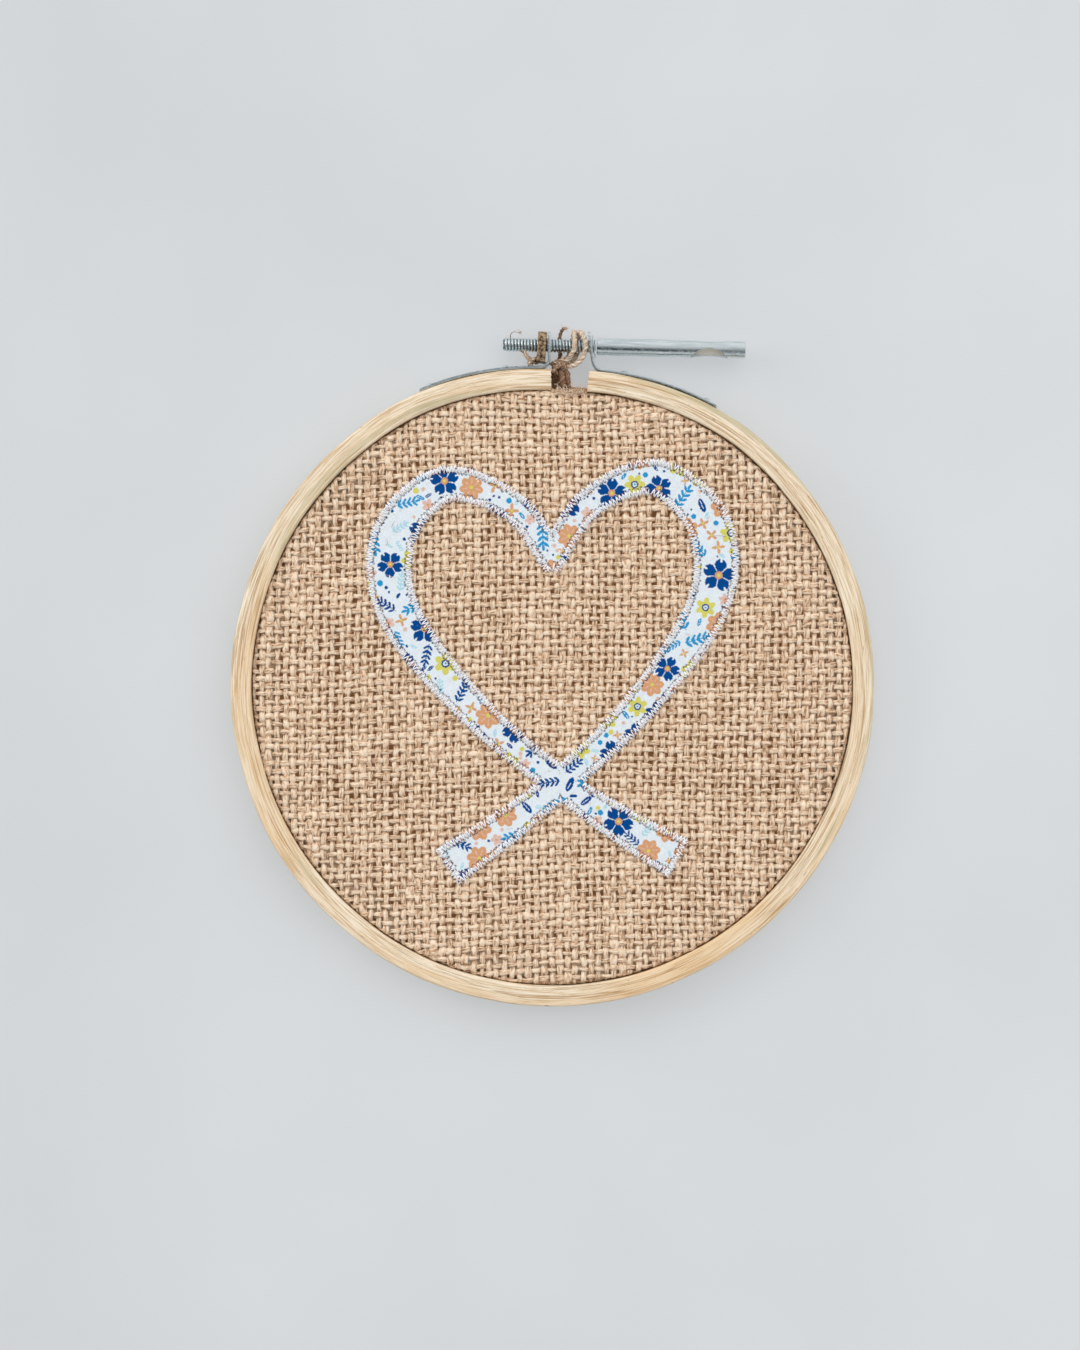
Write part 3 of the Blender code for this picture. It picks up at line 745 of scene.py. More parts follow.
def motif_lines():
    """Centre line, turned and moved to its place, and width of the motif's two halves."""
    halves = []
    cos, sin = math.cos(MOTIF_LEAN), math.sin(MOTIF_LEAN)
    line = evenly(smooth_path(MOTIF_HALF, 24), 0.3 * MM)
    for side in (1, -1):
        x, z = side * line[:, 0], line[:, 1]
        halves.append((np.stack([x * cos + z * sin + MOTIF_MIDDLE[0],
                                 z * cos - x * sin + MOTIF_MIDDLE[1]], 1), line[:, 2]))
    return halves


def half_outline(line, widths):
    """Closed outline of one half of the motif."""
    along = headings(line)
    across = np.stack([-along[:, 1], along[:, 0]], 1) * widths[:, None] / 2
    return np.vstack([line + across, (line - across)[::-1]])


def search_tree(points):
    """A tree that finds the nearest of some flat points."""
    tree = kdtree.KDTree(len(points))
    for number, (x, z) in enumerate(points):
        tree.insert((x, z, 0.0), number)
    tree.balance()
    return tree


def depth_inside(points, halves):
    """How far points lie inside the motif, negative outside it."""
    best = np.full(len(points), -1.0)
    for line, widths in halves:
        tree = search_tree(line)
        found = np.array([tree.find((x, z, 0.0))[1:] for x, z in points])
        index = found[:, 0].astype(int)
        distance = found[:, 1]
        room = widths[index] / 2 - distance
        at_end = (index == 0) | (index == len(line) - 1)
        room = np.where(at_end, np.minimum(room, 0.2 * MM - distance), room)
        best = np.maximum(best, room)
    return best


def cotton_height(x, z):
    """Depth of the cotton's face: it follows the coarse weave softly and puckers a little."""
    weave = np.cos(math.pi * x / PITCH_X) * np.cos(math.pi * z / PITCH_Z)
    pucker = np.sin(x / (3.1 * MM) + 1.3 * np.sin(z / (4.7 * MM))) * np.sin(z / (3.7 * MM) + 0.8)
    return COTTON_Y - 0.05 * MM * weave - 0.06 * MM * pucker


def cotton_sheet(halves):
    """Flat points and faces of the motif, cut from one fine sheet."""
    outlines = [half_outline(*half) for half in halves]
    low = np.min([outline.min(axis=0) for outline in outlines], axis=0)
    high = np.max([outline.max(axis=0) for outline in outlines], axis=0)
    rows = np.arange(low[1], high[1], COTTON_GRID * math.sqrt(3) / 2)
    grid_x, grid_z = np.meshgrid(np.arange(low[0], high[0], COTTON_GRID), rows)
    grid_x = grid_x + (np.arange(len(rows)) % 2)[:, None] * COTTON_GRID / 2
    grid = np.stack([grid_x.ravel(), grid_z.ravel()], 1)
    grid = grid[depth_inside(grid, halves) > 0.12 * MM]
    loops = []
    start = 0
    for outline in outlines:
        x, z = outline.T
        loop = list(range(start, start + len(outline)))
        start += len(outline)
        area = np.sum(x * np.roll(z, -1) - np.roll(x, -1) * z)
        loops.append(loop if area > 0 else loop[::-1])
    corners = [Vector(point) for point in np.vstack(outlines + [grid]) / MM]
    result = geometry.delaunay_2d_cdt(corners, [], loops, 1, 1e-5)
    flat = np.array([tuple(point) for point in result[0]]) * MM
    return flat, [list(face) for face, owners in zip(result[2], result[5]) if owners]


def outline_loops(faces):
    """Ordered loops of the edges that belong to one face only."""
    owners = {}
    for face in faces:
        for start, end in zip(face, face[1:] + face[:1]):
            if owners.pop((end, start), None) is None:
                owners[(start, end)] = True
    follow = {start: end for start, end in owners}
    loops = []
    while follow:
        start, here = follow.popitem()
        loop = [start]
        while here != start and here in follow:
            loop.append(here)
            here = follow.pop(here)
        loops.append(loop)
    return [loop for loop in loops if len(loop) > 20]


# The print: each figure is a list of ellipses, painted in their order. An ellipse has a direction,
# its middle's reach in that direction, half its length and width, a colour and a base on the stem

NAVY = srgb(2, 72, 142)
SKY = srgb(40, 152, 206)
PALE_SKY = srgb(178, 220, 232)
LIME = srgb(218, 212, 104)
PEACH = srgb(219, 162, 118)
PINK = srgb(228, 192, 178)
GROUND = srgb(230, 238, 243)


def petals(count, reach, half_long, half_wide, colour, start=0.0):
    """Ellipses all round a spot."""
    return [(start + math.tau * petal / count, reach, half_long, half_wide, colour, 0.0)
            for petal in range(count)]


def disc(radius, colour):
    """A round spot in the middle."""
    return petals(1, 0.0, radius, radius, colour)


def sprig(colour):
    """A stem with pairs of narrow leaves and one at the tip."""
    leaves = [(side * 0.8, 0.28, 0.27, 0.105, colour, -0.72 + 0.42 * pair)
              for pair in range(4) for side in (-1, 1)]
    return petals(1, 0.0, 0.9, 0.045, colour) + leaves + petals(1, 0.98, 0.24, 0.11, colour)


def leaf(colour):
    """A single leaf with a pale vein."""
    return petals(1, 0.0, 1.0, 0.42, colour) + petals(1, -0.1, 0.7, 0.05, GROUND)


NAVY_BLOOM = (petals(5, 0.56, 0.42, 0.37, NAVY) + petals(5, 0.97, 0.20, 0.07, GROUND)
              + petals(5, 0.62, 0.42, 0.03, GROUND, math.pi / 5) + disc(0.23, PEACH)
              + disc(0.10, LIME))
LIME_BLOOM = petals(6, 0.55, 0.46, 0.29, LIME) + disc(0.36, NAVY) + disc(0.22, GROUND) + disc(0.10, SKY)
PEACH_BLOOM = petals(7, 0.54, 0.42, 0.31, PEACH) + petals(7, 0.48, 0.26, 0.035, PINK) + disc(0.15, LIME)
PINK_BLOOM = petals(5, 0.58, 0.40, 0.32, PINK) + disc(0.22, PEACH)
PEACH_STAR = petals(4, 0.52, 0.50, 0.22, PEACH) + disc(0.2, LIME)
BERRY = 0.85

# Rounds of figures with their smallest and largest reach in millimetres, and each round's tries
PRINT_ROUNDS = [
    (1500, [(NAVY_BLOOM, 3.8, 4.4), (PEACH_BLOOM, 3.0, 3.5), (NAVY_BLOOM, 3.2, 3.8),
            (sprig(SKY), 2.9, 3.5), (LIME_BLOOM, 2.5, 3.0), (sprig(NAVY), 2.5, 3.0)]),
    (3600, [(sprig(PALE_SKY), 2.0, 2.7), (sprig(SKY), 1.9, 2.5), (leaf(NAVY), 1.6, 2.2),
            (PEACH_STAR, 1.5, 1.9), (PINK_BLOOM, 1.4, 1.8), (sprig(NAVY), 2.0, 2.5)]),
    (9000, [(leaf(SKY), 0.9, 1.4), (sprig(PALE_SKY), 1.2, 1.6), (disc(BERRY, LIME), 0.6, 0.9),
            (PEACH_STAR, 0.9, 1.2), (leaf(NAVY), 0.8, 1.1), (leaf(PALE_SKY), 0.8, 1.1),
            (disc(BERRY, SKY), 0.7, 0.9), (disc(BERRY, PINK), 0.5, 0.7),
            (disc(BERRY, NAVY), 0.3, 0.5)])]


def paint(colours, flat, spot, size, turn, figure):
    """Paint a figure round a spot of the print, turned and scaled."""
    offset = flat - spot
    near = np.nonzero(np.hypot(offset[:, 0], offset[:, 1]) < size * 1.5)[0]
    offset = offset[near] / size
    for direction, reach, half_long, half_wide, colour, base in figure:
        x = offset[:, 0] - base * math.cos(turn)
        z = offset[:, 1] - base * math.sin(turn)
        cos, sin = math.cos(turn + direction), math.sin(turn + direction)
        along = (x * cos + z * sin - reach) / half_long
        across = (-x * sin + z * cos) / half_wide
        colours[near[along ** 2 + across ** 2 < 1]] = colour


def printed_colours(flat):
    """The print: flowers, sprigs, leaves and berries scattered so that they stay apart."""
    colours = np.tile(np.array(GROUND), (len(flat), 1))
    low = flat.min(axis=0) - 2 * MM
    high = flat.max(axis=0) + 2 * MM
    spots = np.zeros((0, 2))
    reaches = np.zeros(0)
    for tries, kinds in PRINT_ROUNDS:
        for number in range(tries):
            figure, smallest, largest = kinds[number % len(kinds)]
            spot = random.uniform(low, high)
            size = random.uniform(smallest, largest) * MM
            turn = random.uniform(0, math.tau)
            if np.any(np.hypot(*(spots - spot).T) - reaches < size * 0.74):
                continue
            spots = np.vstack([spots, spot])
            reaches = np.append(reaches, size)
            paint(colours, flat, spot, size, turn, figure)
    return colours


# The stitches

STITCH_PITCH = 0.90 * MM
STITCH_OUT = 0.42 * MM
STITCH_IN = 1.55 * MM
THREAD_RADIUS = 0.155 * MM
THREAD_SIDES = 5
THREAD_ENDS = 240
# Dark specks among the stitches and dark needle holes: partly the dark of what lies beneath, partly
# painted shade
COTTON_SPECKS = 2600
HOLE_AND_SHADE_COLOURS = (srgb(50, 46, 58), srgb(92, 62, 48), srgb(40, 60, 96))


def stitch_points(loop_points, halves):
    """Needle holes along an outline, by turns outside and inside the cotton's edge."""
    even = evenly(np.vstack([loop_points, loop_points[:1]]), STITCH_PITCH / 2)[:-1]
    along = unit(np.roll(even, -1, axis=0) - np.roll(even, 1, axis=0))
    normal = np.stack([-along[:, 1], along[:, 0]], 1)
    probe = normal * 0.5 * MM
    inward = depth_inside(even + probe, halves) > depth_inside(even - probe, halves)
    normal = np.where(inward[:, None], normal, -normal)
    reach = np.where(np.arange(len(even)) % 2 == 0, -STITCH_OUT, STITCH_IN)
    reach = reach + random.normal(0, 0.14 * MM, len(even))
    jitter = along * random.normal(0, 0.10 * MM, len(even))[:, None]
    return even + normal * reach[:, None] + jitter


def zigzag_stitches(material, needle_lines):
    """The sewing thread, as one tube that arches between needle holes, and its loose ends."""
    shape = Shape()
    for number, needles in enumerate(needle_lines):
        path = []
        for step, (start, end) in enumerate(zip(needles, needles[1:])):
            for share in (0.0, 0.25, 0.5, 0.75):
                x, z = start + (end - start) * share
                outer_share = share if step % 2 else 1 - share
                sunk = 0.12 + 0.40 * max(outer_share - 0.6, 0.0) / 0.4
                arch = 0.42 * math.sin(math.pi * share)
                path.append((x, cotton_height(x, z) + (sunk - arch) * MM, z))
        shape.add_strand(np.array(path), np.array([0.0, -1.0, 0.0]), THREAD_RADIUS, THREAD_RADIUS,
                         THREAD_SIDES, np.arange(len(path)) * 0.3 * MM, number * 9.0,
                         lambda: random.uniform(0.0, 1.0, len(path)))
    for number in range(THREAD_ENDS):
        line = needle_lines[random.integers(len(needle_lines))]
        x, z = line[random.integers(len(line) // 2) * 2]
        direction = np.array([random.normal(), -abs(random.normal(0, 0.3)), random.normal()])
        add_hair(shape, np.array([x, COTTON_Y + 0.2 * MM, z]), direction, (0.5, 1.4), 0.04, 0.7,
                 number)
    return shape.make("zigzag_stitches", material)


def motif_piece(cotton, thread):
    """The motif with its print, its needle holes and specks painted dark, partly as shade, its edge
    turned down and its stitching.
    """
    halves = motif_lines()
    flat, faces = cotton_sheet(halves)
    needle_lines = [stitch_points(flat[loop], halves) for loop in outline_loops(faces)]
    colours = printed_colours(flat)
    rim = depth_inside(flat, halves)
    edge = flat[(rim < STITCH_IN + 0.25 * MM) & (rim > 0.1 * MM)]
    specks = edge[random.choice(len(edge), COTTON_SPECKS, replace=False)]
    spots = np.vstack([line[1::2] for line in needle_lines] + [specks])
    first_speck = len(spots) - len(specks)
    holes = search_tree(spots)
    depth = cotton_height(flat[:, 0], flat[:, 1])
    # Needle holes and specks painted dark: partly what shows beneath, partly painted shade in the holes
    # and between the stitches
    for index, (x, z) in enumerate(flat):
        _, number, distance = holes.find((x, z, 0.0))
        if distance < (0.30 * MM if number < first_speck else 0.16 * MM):
            colours[index] = 0.12 * colours[index] + 0.88 * np.array(HOLE_AND_SHADE_COLOURS[number % 3])
            depth[index] += 0.12 * MM
    depth += 0.16 * MM * np.clip(1 - rim / (0.5 * MM), 0, 1)
    shape = Shape()
    shape.add(np.stack([flat[:, 0], depth, flat[:, 1]], 1), faces,
              print=np.hstack([colours, np.ones((len(colours), 1))]))
    piece = shape.make("cotton_motif", cotton, ["motif"])
    return piece, zigzag_stitches(thread, needle_lines)


# The metal fittings

def placed(x, y, z, degrees, axis="Y"):
    """A turn in degrees and then a move in millimetres."""
    return (Matrix.Translation((x * MM, y * MM, z * MM))
            @ Matrix.Rotation(math.radians(degrees), 4, axis))


SCREW_TILT = 1.35
SCREW_ON_HOOP = placed(4.4, 0.0, 85.05, SCREW_TILT)
HOOP_PLACE = Matrix.Translation(Vector(CENTRE))
SCREW_PLACE = HOOP_PLACE @ SCREW_ON_HOOP


def shaped_mesh(mesh, place, changes=()):
    """A mesh after a list of modifier settings, moved to its place."""
    things = [linked("work", mesh)]
    for kind, settings in changes:
        modifier = things[0].modifiers.new(kind, kind)
        for key, value in settings.items():
            if key == "object":
                value = linked("work_cutter", value)
                things.append(value)
            setattr(modifier, key, value)
    bpy.context.view_layer.update()
    result = bpy.data.meshes.new_from_object(
        things[0].evaluated_get(bpy.context.evaluated_depsgraph_get()))
    for thing in things:
        bpy.data.objects.remove(thing, do_unlink=True)
    result.transform(place)
    result.shade_smooth()
    result.set_sharp_from_angle(angle=math.radians(32))
    return result


def boolean(operation, mesh):
    """A modifier that joins a mesh on or cuts it away."""
    return "BOOLEAN", {"operation": operation, "object": mesh}


def bevel(width, segments, **settings):
    """A modifier that rounds the sharp edges."""
    return "BEVEL", {"width": width, "segments": segments, "limit_method": "ANGLE", **settings}


def moved_mesh(bm, matrix):
    """The mesh of a bmesh, moved by a matrix."""
    bmesh.ops.transform(bm, matrix=matrix, verts=bm.verts)
    mesh = bpy.data.meshes.new("work")
    bm.to_mesh(mesh)
    bm.free()
    return mesh


def cylinder_mesh(radius, length, matrix, segments=48):
    """A closed cylinder for cutting."""
    bm = bmesh.new()
    bmesh.ops.create_cone(bm, cap_ends=True, segments=segments, radius1=radius, radius2=radius,
                          depth=length)
    return moved_mesh(bm, matrix)


def block_mesh(size, matrix):
    """A box of a size in millimetres."""
    bm = bmesh.new()
    bmesh.ops.create_cube(bm, size=1.0)
    bmesh.ops.scale(bm, vec=[side * MM for side in size], verts=bm.verts)
    return moved_mesh(bm, matrix)


def grid_mesh(points, **joins):
    """A mesh from rings of points."""
    mesh = bpy.data.meshes.new("grid")
    mesh.from_pydata(points.reshape(-1, 3).tolist(), [], tube_faces(*points.shape[:2], **joins))
    return mesh


def welded(mesh):
    """The mesh with its double vertices joined and its faces turned outwards."""
    bm = bmesh.new()
    bm.from_mesh(mesh)
    bmesh.ops.remove_doubles(bm, verts=bm.verts, dist=0.001 * MM)
    bmesh.ops.recalc_face_normals(bm, faces=bm.faces)
    bm.to_mesh(mesh)
    bm.free()
    return mesh


def turned_points(along, radius, angle):
    """Rings of points about X: a radius or a row of radii at each place along it."""
    y = radius * np.cos(angle)
    return np.stack([np.broadcast_to(along[:, None], y.shape), y, radius * np.sin(angle)], -1)


def turned_mesh(profile, steps):
    """A profile of distance along X and radius in millimetres, turned about X."""
    along, radius = np.array(profile).T * MM
    angle = np.linspace(0, math.tau, steps, endpoint=False)
    return welded(grid_mesh(turned_points(along, radius[:, None], angle)))


def screw_rod(material):
    """Rod with a real helical thread, chamfered at its free end."""
    pitch = 0.8 * MM
    crest = 1.75 * MM
    root = 1.38 * MM
    start = -16.8 * MM
    end = 6.4 * MM
    along = np.arange(start, end + 0.01 * MM, pitch / 9)
    turns = np.linspace(0, 1, 30, endpoint=False)
    phase = (along[:, None] / pitch - turns[None, :]) % 1.0
    ridge = np.clip(1.55 - 3.1 * np.abs(phase - 0.5), 0.0, 1.0)
    radius = root + (crest - root) * ridge
    radius = np.minimum(radius, 1.15 * MM + (along - start)[:, None] * 1.2)
    mesh = grid_mesh(turned_points(along, radius, turns * math.tau), capped=True)
    # Darker in the thread's roots, where shade falls: painted shade
    mark(mesh, "dull_and_shade", np.clip((crest - 0.17 * MM - radius) / (0.12 * MM), 0.0, 1.15))
    mesh.transform(SCREW_PLACE)
    mesh.shade_smooth()
    mesh.set_sharp_from_angle(angle=math.radians(60))
    place_piece("screw_thread", mesh, material, ["screw_rod"])


def barrel(material):
    """Long rolled sleeve with its seam, a slightly dented skin and the scoop in its lower side."""
    start = 6.75 * MM
    end = 44.0 * MM
    outer = 2.15 * MM
    bore = 1.55 * MM
    rim = 0.15 * MM
    scoop = 35.0
    along = np.concatenate([[start], np.linspace(start + rim, end - rim, 110), [end]])
    angle = np.linspace(0, math.tau, 64, endpoint=False)
    away = (angle - math.radians(-128) + math.pi) % math.tau - math.pi
    seam = 0.28 * MM * np.exp(-(away * outer / (0.13 * MM)) ** 2)
    dents = 0.035 * MM * np.sin(along[:, None] / (4.3 * MM) + 2 * angle[None, :]) * np.sin(
        along[:, None] / (2.9 * MM))
    near_scoop = np.exp(-((along - scoop * MM) / (4.2 * MM)) ** 2)[:, None]
    flat_top = 0.22 * MM * near_scoop * np.clip(np.sin(angle)[None, :], 0, 1)
    radius = outer - seam[None, :] + dents - flat_top
    radius[[0, -1]] -= rim * 0.8
    radius = np.vstack([radius, np.full((2, len(angle)), bore)])
    points = turned_points(np.concatenate([along, [end, start]]), radius, angle)
    points = np.concatenate([points, points[:1]])
    mesh = grid_mesh(points)
    # A dark band low on the front, fading along the barrel: partly dull streaks of the plating, partly
    # a painted reflection of a dark room below; the seam line is dull too
    share = np.clip((points[:, :1, 0] - start) / (end - start), 0, 1)
    streak = np.radians(196 + 10 * share)
    low = (angle[None, :] - streak + math.pi) % math.tau - math.pi
    band = (0.90 - 0.45 * share) * np.exp(-(low / math.radians(11)) ** 2)
    mark(mesh, "dull_and_shade", band + 0.5 * np.exp(-(away / math.radians(4)) ** 2)[None, :])
    # The bore is matt and painted nearly white: painted light that lifts the shade inside the tube
    mark(mesh, "bare", 1.0 * (np.hypot(points[..., 1], points[..., 2]) < bore + 0.01 * MM))
    changes = []
    for cut_radius, top, y in ((5.9, 0.2, -3.6), (21.0, -1.68, 0.0)):
        place = placed(scoop, y, top - cut_radius, 90, "X")
        changes.append(boolean("DIFFERENCE", cylinder_mesh(cut_radius * MM, 8 * MM, place, 192)))
    mesh = shaped_mesh(welded(mesh), SCREW_PLACE, changes)
    place_piece("rolled_barrel", mesh, material, ["barrel"])


STRAP_THICKNESS = 0.7 * MM
STRAP_WIDTH = 7.0 * MM
STRAP_RADIUS = HOOP_RADIUS + 0.15 * MM + STRAP_THICKNESS / 2
LUG_ROUNDING = 2.2 * MM
STRAP_END_ROUNDING = 1.0 * MM


def corner_cut(distance, rounding):
    """What a round corner takes off a strap's side at a distance from the strap's end."""
    return rounding - np.sqrt(rounding ** 2 - (rounding - np.minimum(distance, rounding)) ** 2)


def strap(node, far_angle, near_angle, lug, material):
    """Thin strap on the hoop's outside, bent up into a round-cornered lug with a hole."""
    path = [hoop_point(STRAP_RADIUS, angle) for angle in np.linspace(far_angle, near_angle, 40)]
    start = path.pop()
    corner, foot, top = (np.array([x, 0.0, z]) * MM for x, z in lug)
    for share in np.linspace(0, 1, 14):
        path.append(start * (1 - share) ** 2 + corner * (2 * share * (1 - share))
                    + foot * share ** 2)
    for share in np.linspace(0, 1, 12)[1:]:
        path.append(foot + (top - foot) * share)
    path = np.array(path)
    reached = lengths_along(path)
    narrow = (corner_cut(reached[-1] - reached, LUG_ROUNDING)
              + corner_cut(reached, STRAP_END_ROUNDING))
    rows = np.repeat(path[:, None, :], 15, axis=1)
    rows[:, :, 1] = (STRAP_WIDTH / 2 - narrow * 0.8)[:, None] * np.linspace(-1, 1, 15)
    hole = cylinder_mesh(2.0 * MM, 40 * MM, SCREW_ON_HOOP @ placed(0, 0, 0, 90))
    mesh = shaped_mesh(grid_mesh(rows, around=False), HOOP_PLACE, [
        ("SOLIDIFY", {"thickness": STRAP_THICKNESS, "offset": 0.0, "use_even_offset": True}),
        bevel(0.12 * MM, 2), boolean("DIFFERENCE", hole)])
    spots = np.array([tuple(vertex.co) for vertex in mesh.vertices]) - CENTRE
    offsets = spots[:, None, ::2] - path[None, :, ::2]
    nearest = np.argmin(np.linalg.norm(offsets, axis=2), axis=1)
    offset = offsets[np.arange(len(spots)), nearest]
    along = headings(path[:, ::2])[nearest]
    side = along[:, 0] * offset[:, 1] - along[:, 1] * offset[:, 0]
    # The sheared long edges are dark along one side of their thickness: partly the cut edge's own dark
    # line, partly painted shadow beside the lugs
    sheared = np.abs(spots[:, 1]) > STRAP_WIDTH / 2 - 0.2 * MM
    mark(mesh, "dull_and_shade", np.clip(side / STRAP_THICKNESS, 0.0, 0.5) * 2 * sheared)
    place_piece(node + "_steel", mesh, material, [node])


def nut(material):
    """Nut plate with a round top, and the foot that rests on the strap."""
    plate = block_mesh((2.2, 7.2, 7.5), placed(-2.7, 0.0, 84.65, 4))
    foot = block_mesh((2.4, 5.2, 0.7), placed(-4.5, 0.0, 81.4, -43))
    hole = cylinder_mesh(1.95 * MM, 12 * MM, placed(-3.0, 0.0, 85.22, 90 + SCREW_TILT))
    mesh = shaped_mesh(plate, HOOP_PLACE, [
        boolean("UNION", foot), boolean("DIFFERENCE", hole),
        bevel(0.45 * MM, 4, angle_limit=math.radians(60))])
    place_piece("nut_with_foot", mesh, material, ["nut_plate"])


def washer(material):
    """Thin washer that leans with the right lug."""
    mesh = turned_mesh([(-0.15, 2.05), (-0.15, 2.83), (-0.08, 2.9), (0.08, 2.9), (0.15, 2.83),
                        (0.15, 2.05), (-0.15, 2.05)], 48)
    mesh = shaped_mesh(mesh, SCREW_PLACE @ placed(6.0, 0.0, 0.0, -8.3))
    place_piece("washer_plate", mesh, material, ["washer"])


def tack(node, angle, material):
    """Domed tack head on a strap, with its shank in the wood."""
    mesh = turned_mesh([(0.65, 0.0), (0.62, 0.3), (0.50, 0.65), (0.28, 0.95), (0.05, 1.05),
                        (0.0, 1.0), (0.0, 0.4), (-4.0, 0.4), (-4.2, 0.0)], 24)
    seat = hoop_point(STRAP_RADIUS + STRAP_THICKNESS / 2 + 0.03 * MM, angle)
    place = Matrix.Translation(Vector(CENTRE + seat)) @ placed(0, 0, 0, -angle)
    place_piece(node + "_dome", shaped_mesh(mesh, place), material, [node])


# The twine: routes in tenths of a millimetre from the hoop's centre, as in the part's source

TENTHS_PER_METRE = 10000
KNOT_MIDDLE = np.array([17, -4, 800]) / TENTHS_PER_METRE
TWINE_RADIUS = 0.60
TWINE_STEP = 0.14 * MM
PLY_SIDES = 8
# Radius in millimetres, tone (below nought a painted shade), share of the radius left at the end, and
# route of each stretch
TWINE = {
    "twine_loop_left": (TWINE_RADIUS, 0.5, 1.0, [
        (37, -20, 815), (45, -27, 824), (53, -28, 838), (56, -27, 857), (55, -17, 876),
        (55, 0, 886), (53, 17, 876), (49, 27, 858), (45, 27, 840), (40, 24, 824)]),
    "twine_loop_right": (TWINE_RADIUS, 0.5, 1.0, [
        (44, -14, 799), (58, -22, 803), (73, -27, 817), (82, -28, 837), (83, -27, 857),
        (77, -18, 875), (69, -1, 885), (66, 16, 877), (66, 27, 860), (65, 27, 843),
        (58, 26, 825), (50, 23, 812)]),
    "twine_end_up": (0.55, -0.3, 0.7, [
        (18, 24, 818), (20, 27, 836), (18, 27, 856), (18, 22, 873), (22, 11, 887),
        (28, -1, 894), (33, -10, 894)]),
    "twine_end_left": (0.4, 0.3, 0.12, [
        (10, 29, 805), (0, 41, 808), (-18, 45, 811), (-40, 44, 814), (-58, 36, 824),
        (-78, 28, 840), (-98, 26, 858), (-106, 18, 876), (-99, 6, 886), (-86, -4, 884)]),
    # The tucks' low tones paint them in shade inside the gap
    "twine_tuck_left": (0.68, -0.6, 1.0, [
        (24, -12, 776), (24, -10, 764), (25, -2, 752), (26, 14, 747), (26, 30, 747),
        (25, 42, 747)]),
    "twine_tuck_right": (0.68, -0.45, 1.0, [
        (37, -6, 783), (38, -8, 768), (39, 0, 755), (39, 14, 747), (40, 30, 747),
        (40, 42, 747)]),
}
# Loose thin strands of the left end that stick out from under the nut's foot
LEFT_STRANDS = [[(-40, 8, 808), (-54, -12, 816), (-70, -20, 832)],
                [(-38, -6, 806), (-52, -24, 809), (-64, -28, 820), (-74, -26, 838)],
                [(-42, -22, 818), (-52, -30, 813), (-60, -30, 804), (-50, -26, 799)]]
# The knot's own turns
KNOT_TURNS = [[(4, -8, 795), (9, -21, 797), (22, -24, 801), (32, -14, 805), (32, 4, 807),
               (20, 14, 806), (6, 10, 804), (2, -6, 805), (10, -20, 809), (24, -21, 813),
               (32, -8, 814)],
              [(30, -16, 812), (18, -23, 806), (8, -22, 796), (4, -12, 787), (12, -2, 782),
               (24, -4, 783), (30, -14, 790), (26, -24, 799), (14, -26, 804)]]
# Strands at the gap's left side, dark by a painted shade tone, that also stand in for the shadow there
HIDDEN_STRANDS = [[(12, 4, 800), (12, 14, 785), (13, 24, 766), (14, 36, 752)],
                  [(8, 10, 799), (3, 22, 785), (3, 32, 766), (4, 38, 752)],
                  [(12, 4, 801), (19, 8, 791), (27, 12, 778)]]


def carried_across(path):
    """A sideways direction carried smoothly along a path."""
    along = headings(path)
    side = np.array([0.0, 1.0, 0.0]) if abs(along[0][1]) < 0.9 else np.array([1.0, 0.0, 0.0])
    result = []
    for direction in along:
        side = unit(side - direction * np.dot(side, direction))
        result.append(side)
    return np.array(result)


def add_twine(shape, route, radius, number, middle_tone, end_share=1.0):
    """Two plies twisted together along a route in metres, perhaps thinner towards its end."""
    radius = radius * MM
    path = evenly(smooth_path(route, 10), TWINE_STEP)
    across = carried_across(path)
    along = headings(path)
    up = np.cross(along, across)
    reached = np.arange(len(path)) * TWINE_STEP
    twist = reached / (2.6 * MM) * math.tau
    for ply in (0, 1):
        angle = twist + ply * math.pi
        offset = across * np.cos(angle)[:, None] + up * np.sin(angle)[:, None]
        swell = 1.0 + wobble(reached, 4 * MM, 0.08)
        taper = radius * np.linspace(1.0, end_share, len(path))
        thick = taper * 0.72 * swell
        shape.add_strand(path + offset * taper[:, None] * 0.42, offset, thick, thick, PLY_SIDES,
                         reached, number * 5.0 + ply, lambda: random.normal(middle_tone, 0.1), 0.05)
    for hair in range(int(len(path) / 3)):
        at = random.integers(len(path))
        direction = unit(unit(random.normal(size=3)) + along[at] * 0.8)
        add_hair(shape, path[at] + direction * radius * 0.6, direction, (0.4, 1.3), 0.03, 0.7, hair)
    return path


def frayed_end(shape, tip, direction, radius):
    """Loose fibres at a cut end."""
    for number in range(26):
        way = direction + random.normal(0, 0.35, 3)
        start = tip + random.normal(0, radius * 0.35, 3)
        add_hair(shape, start, way, (0.5, 1.5), 0.04, 0.5, number)


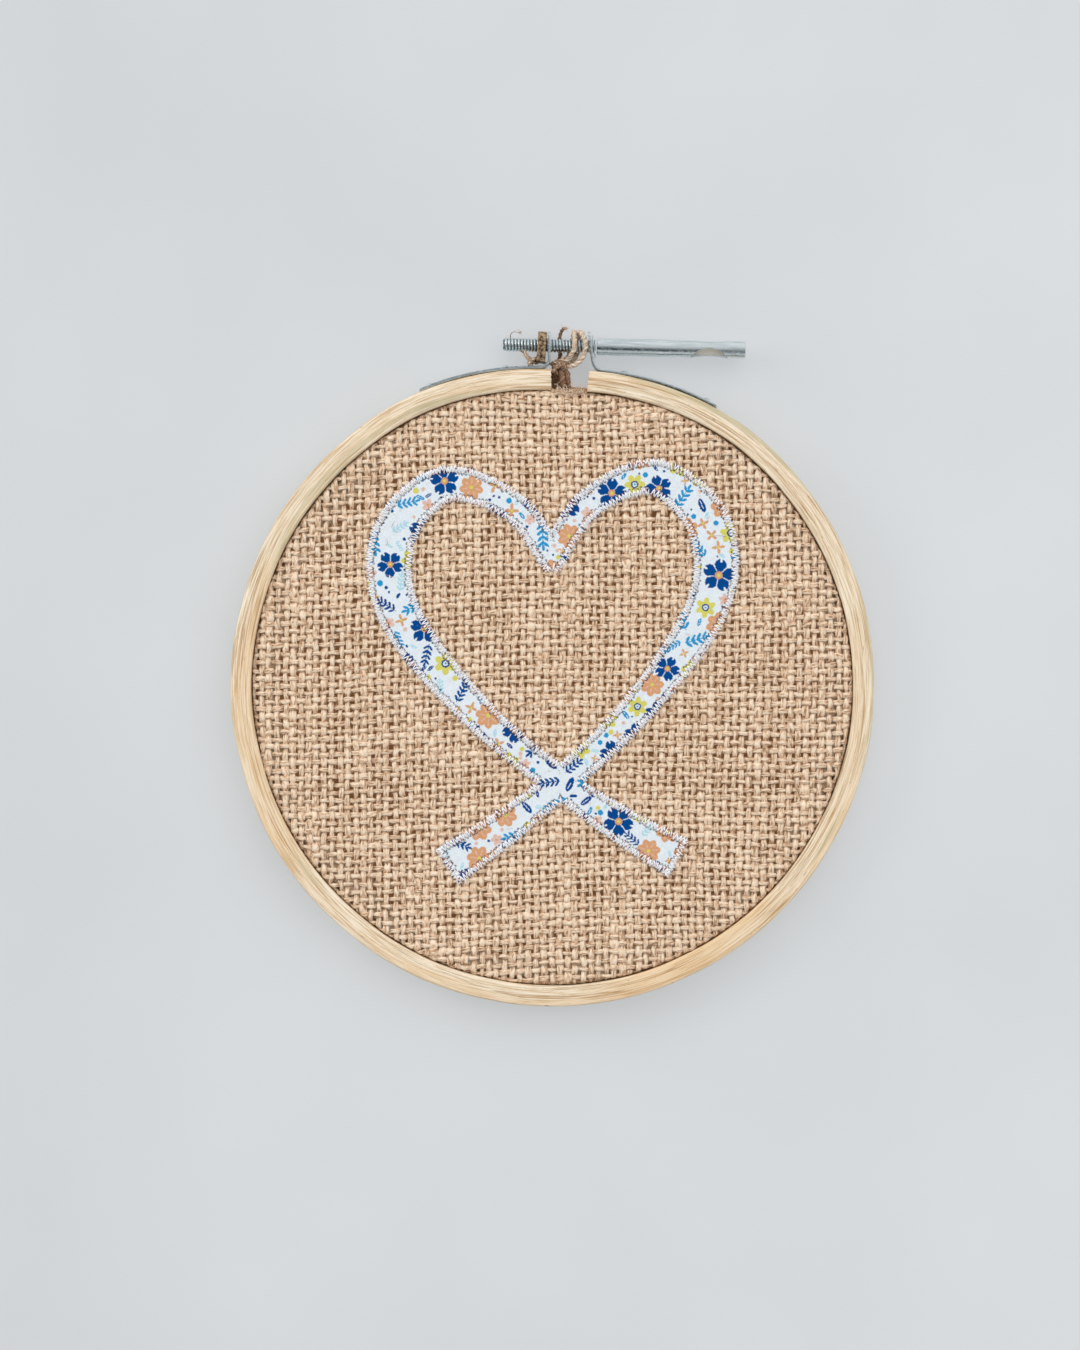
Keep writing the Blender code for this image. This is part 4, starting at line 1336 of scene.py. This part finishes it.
def twine(material):
    """The tie: every stretch runs into the knot, and loose ends are frayed."""
    for number, (name, (radius, tone, end_share, route)) in enumerate(TWINE.items()):
        points = np.array(route) / TENTHS_PER_METRE
        into_knot = points * 0.45 + KNOT_MIDDLE * 0.55
        ends = into_knot[-1:] if "loop" in name else into_knot[:0]
        shape = Shape()
        path = add_twine(shape, np.vstack([into_knot[:1], points, ends]), radius, number, tone,
                         end_share)
        if "loop" not in name:
            frayed_end(shape, path[-1], unit(path[-1] - path[-4]), radius * MM * end_share)
        for strand in LEFT_STRANDS if name == "twine_end_left" else ():
            add_twine(shape, np.array(strand) / TENTHS_PER_METRE, 0.38, number + 40, 0.2)
        shape.make(name + "_plies", material, [name])
    knot = Shape()
    # The knot's turns take a little of the painted shade brown, the hidden strands all of it
    for first, tone, routes in ((20, -0.1, KNOT_TURNS), (30, -0.95, HIDDEN_STRANDS)):
        for number, route in enumerate(routes):
            add_twine(knot, np.array(route) / TENTHS_PER_METRE, TWINE_RADIUS, first + number, tone)
    knot.make("twine_knot_plies", material, ["twine_knot"])


add_camera()
add_stage()

wood = new_material("pale_bamboo", bamboo)
wooden_ring("outer_ring", ring_section(OUTER_BORE, HOOP_RADIUS, FRONT_Y, 0.6 * MM),
            360 - (GAP_LEFT - GAP_RIGHT), 720, wood)
wooden_ring("inner_ring", ring_section(INNER_RADIUS - INNER_WALL, INNER_RADIUS, INNER_FRONT_Y,
                                       0.8 * MM), 360, 480, wood)

burlap_jute = new_material("burlap_jute", jute, srgb(153, 118, 86), srgb(230, 192, 157),
                           srgb(255, 235, 209))
warp = woven_set("burlap_warp", True, burlap_jute)
weft = woven_set("burlap_weft", False, burlap_jute)
margin = burlap_margin(burlap_jute)
fuzz = burlap_fuzz(burlap_jute)
motif, stitches = motif_piece(new_material("printed_cotton", printed_cotton),
                              new_material("white_thread", white_thread))

zinc = new_material("zinc_plate", zinc_plate)
screw_rod(zinc)
barrel(zinc)
strap("strap_left", 114.4, 92.2, [(-0.8, 79.8), (-0.8, 82.0), (-0.8, 88.5)], zinc)
strap("strap_right", 59.3, 81.2, [(10.35, 79.1), (10.0, 81.6), (9.15, 88.5)], zinc)
nut(new_material("speckled_nut", speckled_nut))
washer(zinc)
for tack_name, tack_angle in (("tack_left_outer", 112.3), ("tack_left_inner", 98.5),
                              ("tack_right_inner", 77.0), ("tack_right_outer", 61.5)):
    tack(tack_name, tack_angle, zinc)
twine(new_material("twine_jute", jute, srgb(140, 102, 76), srgb(234, 206, 178),
                   srgb(250, 234, 212)))
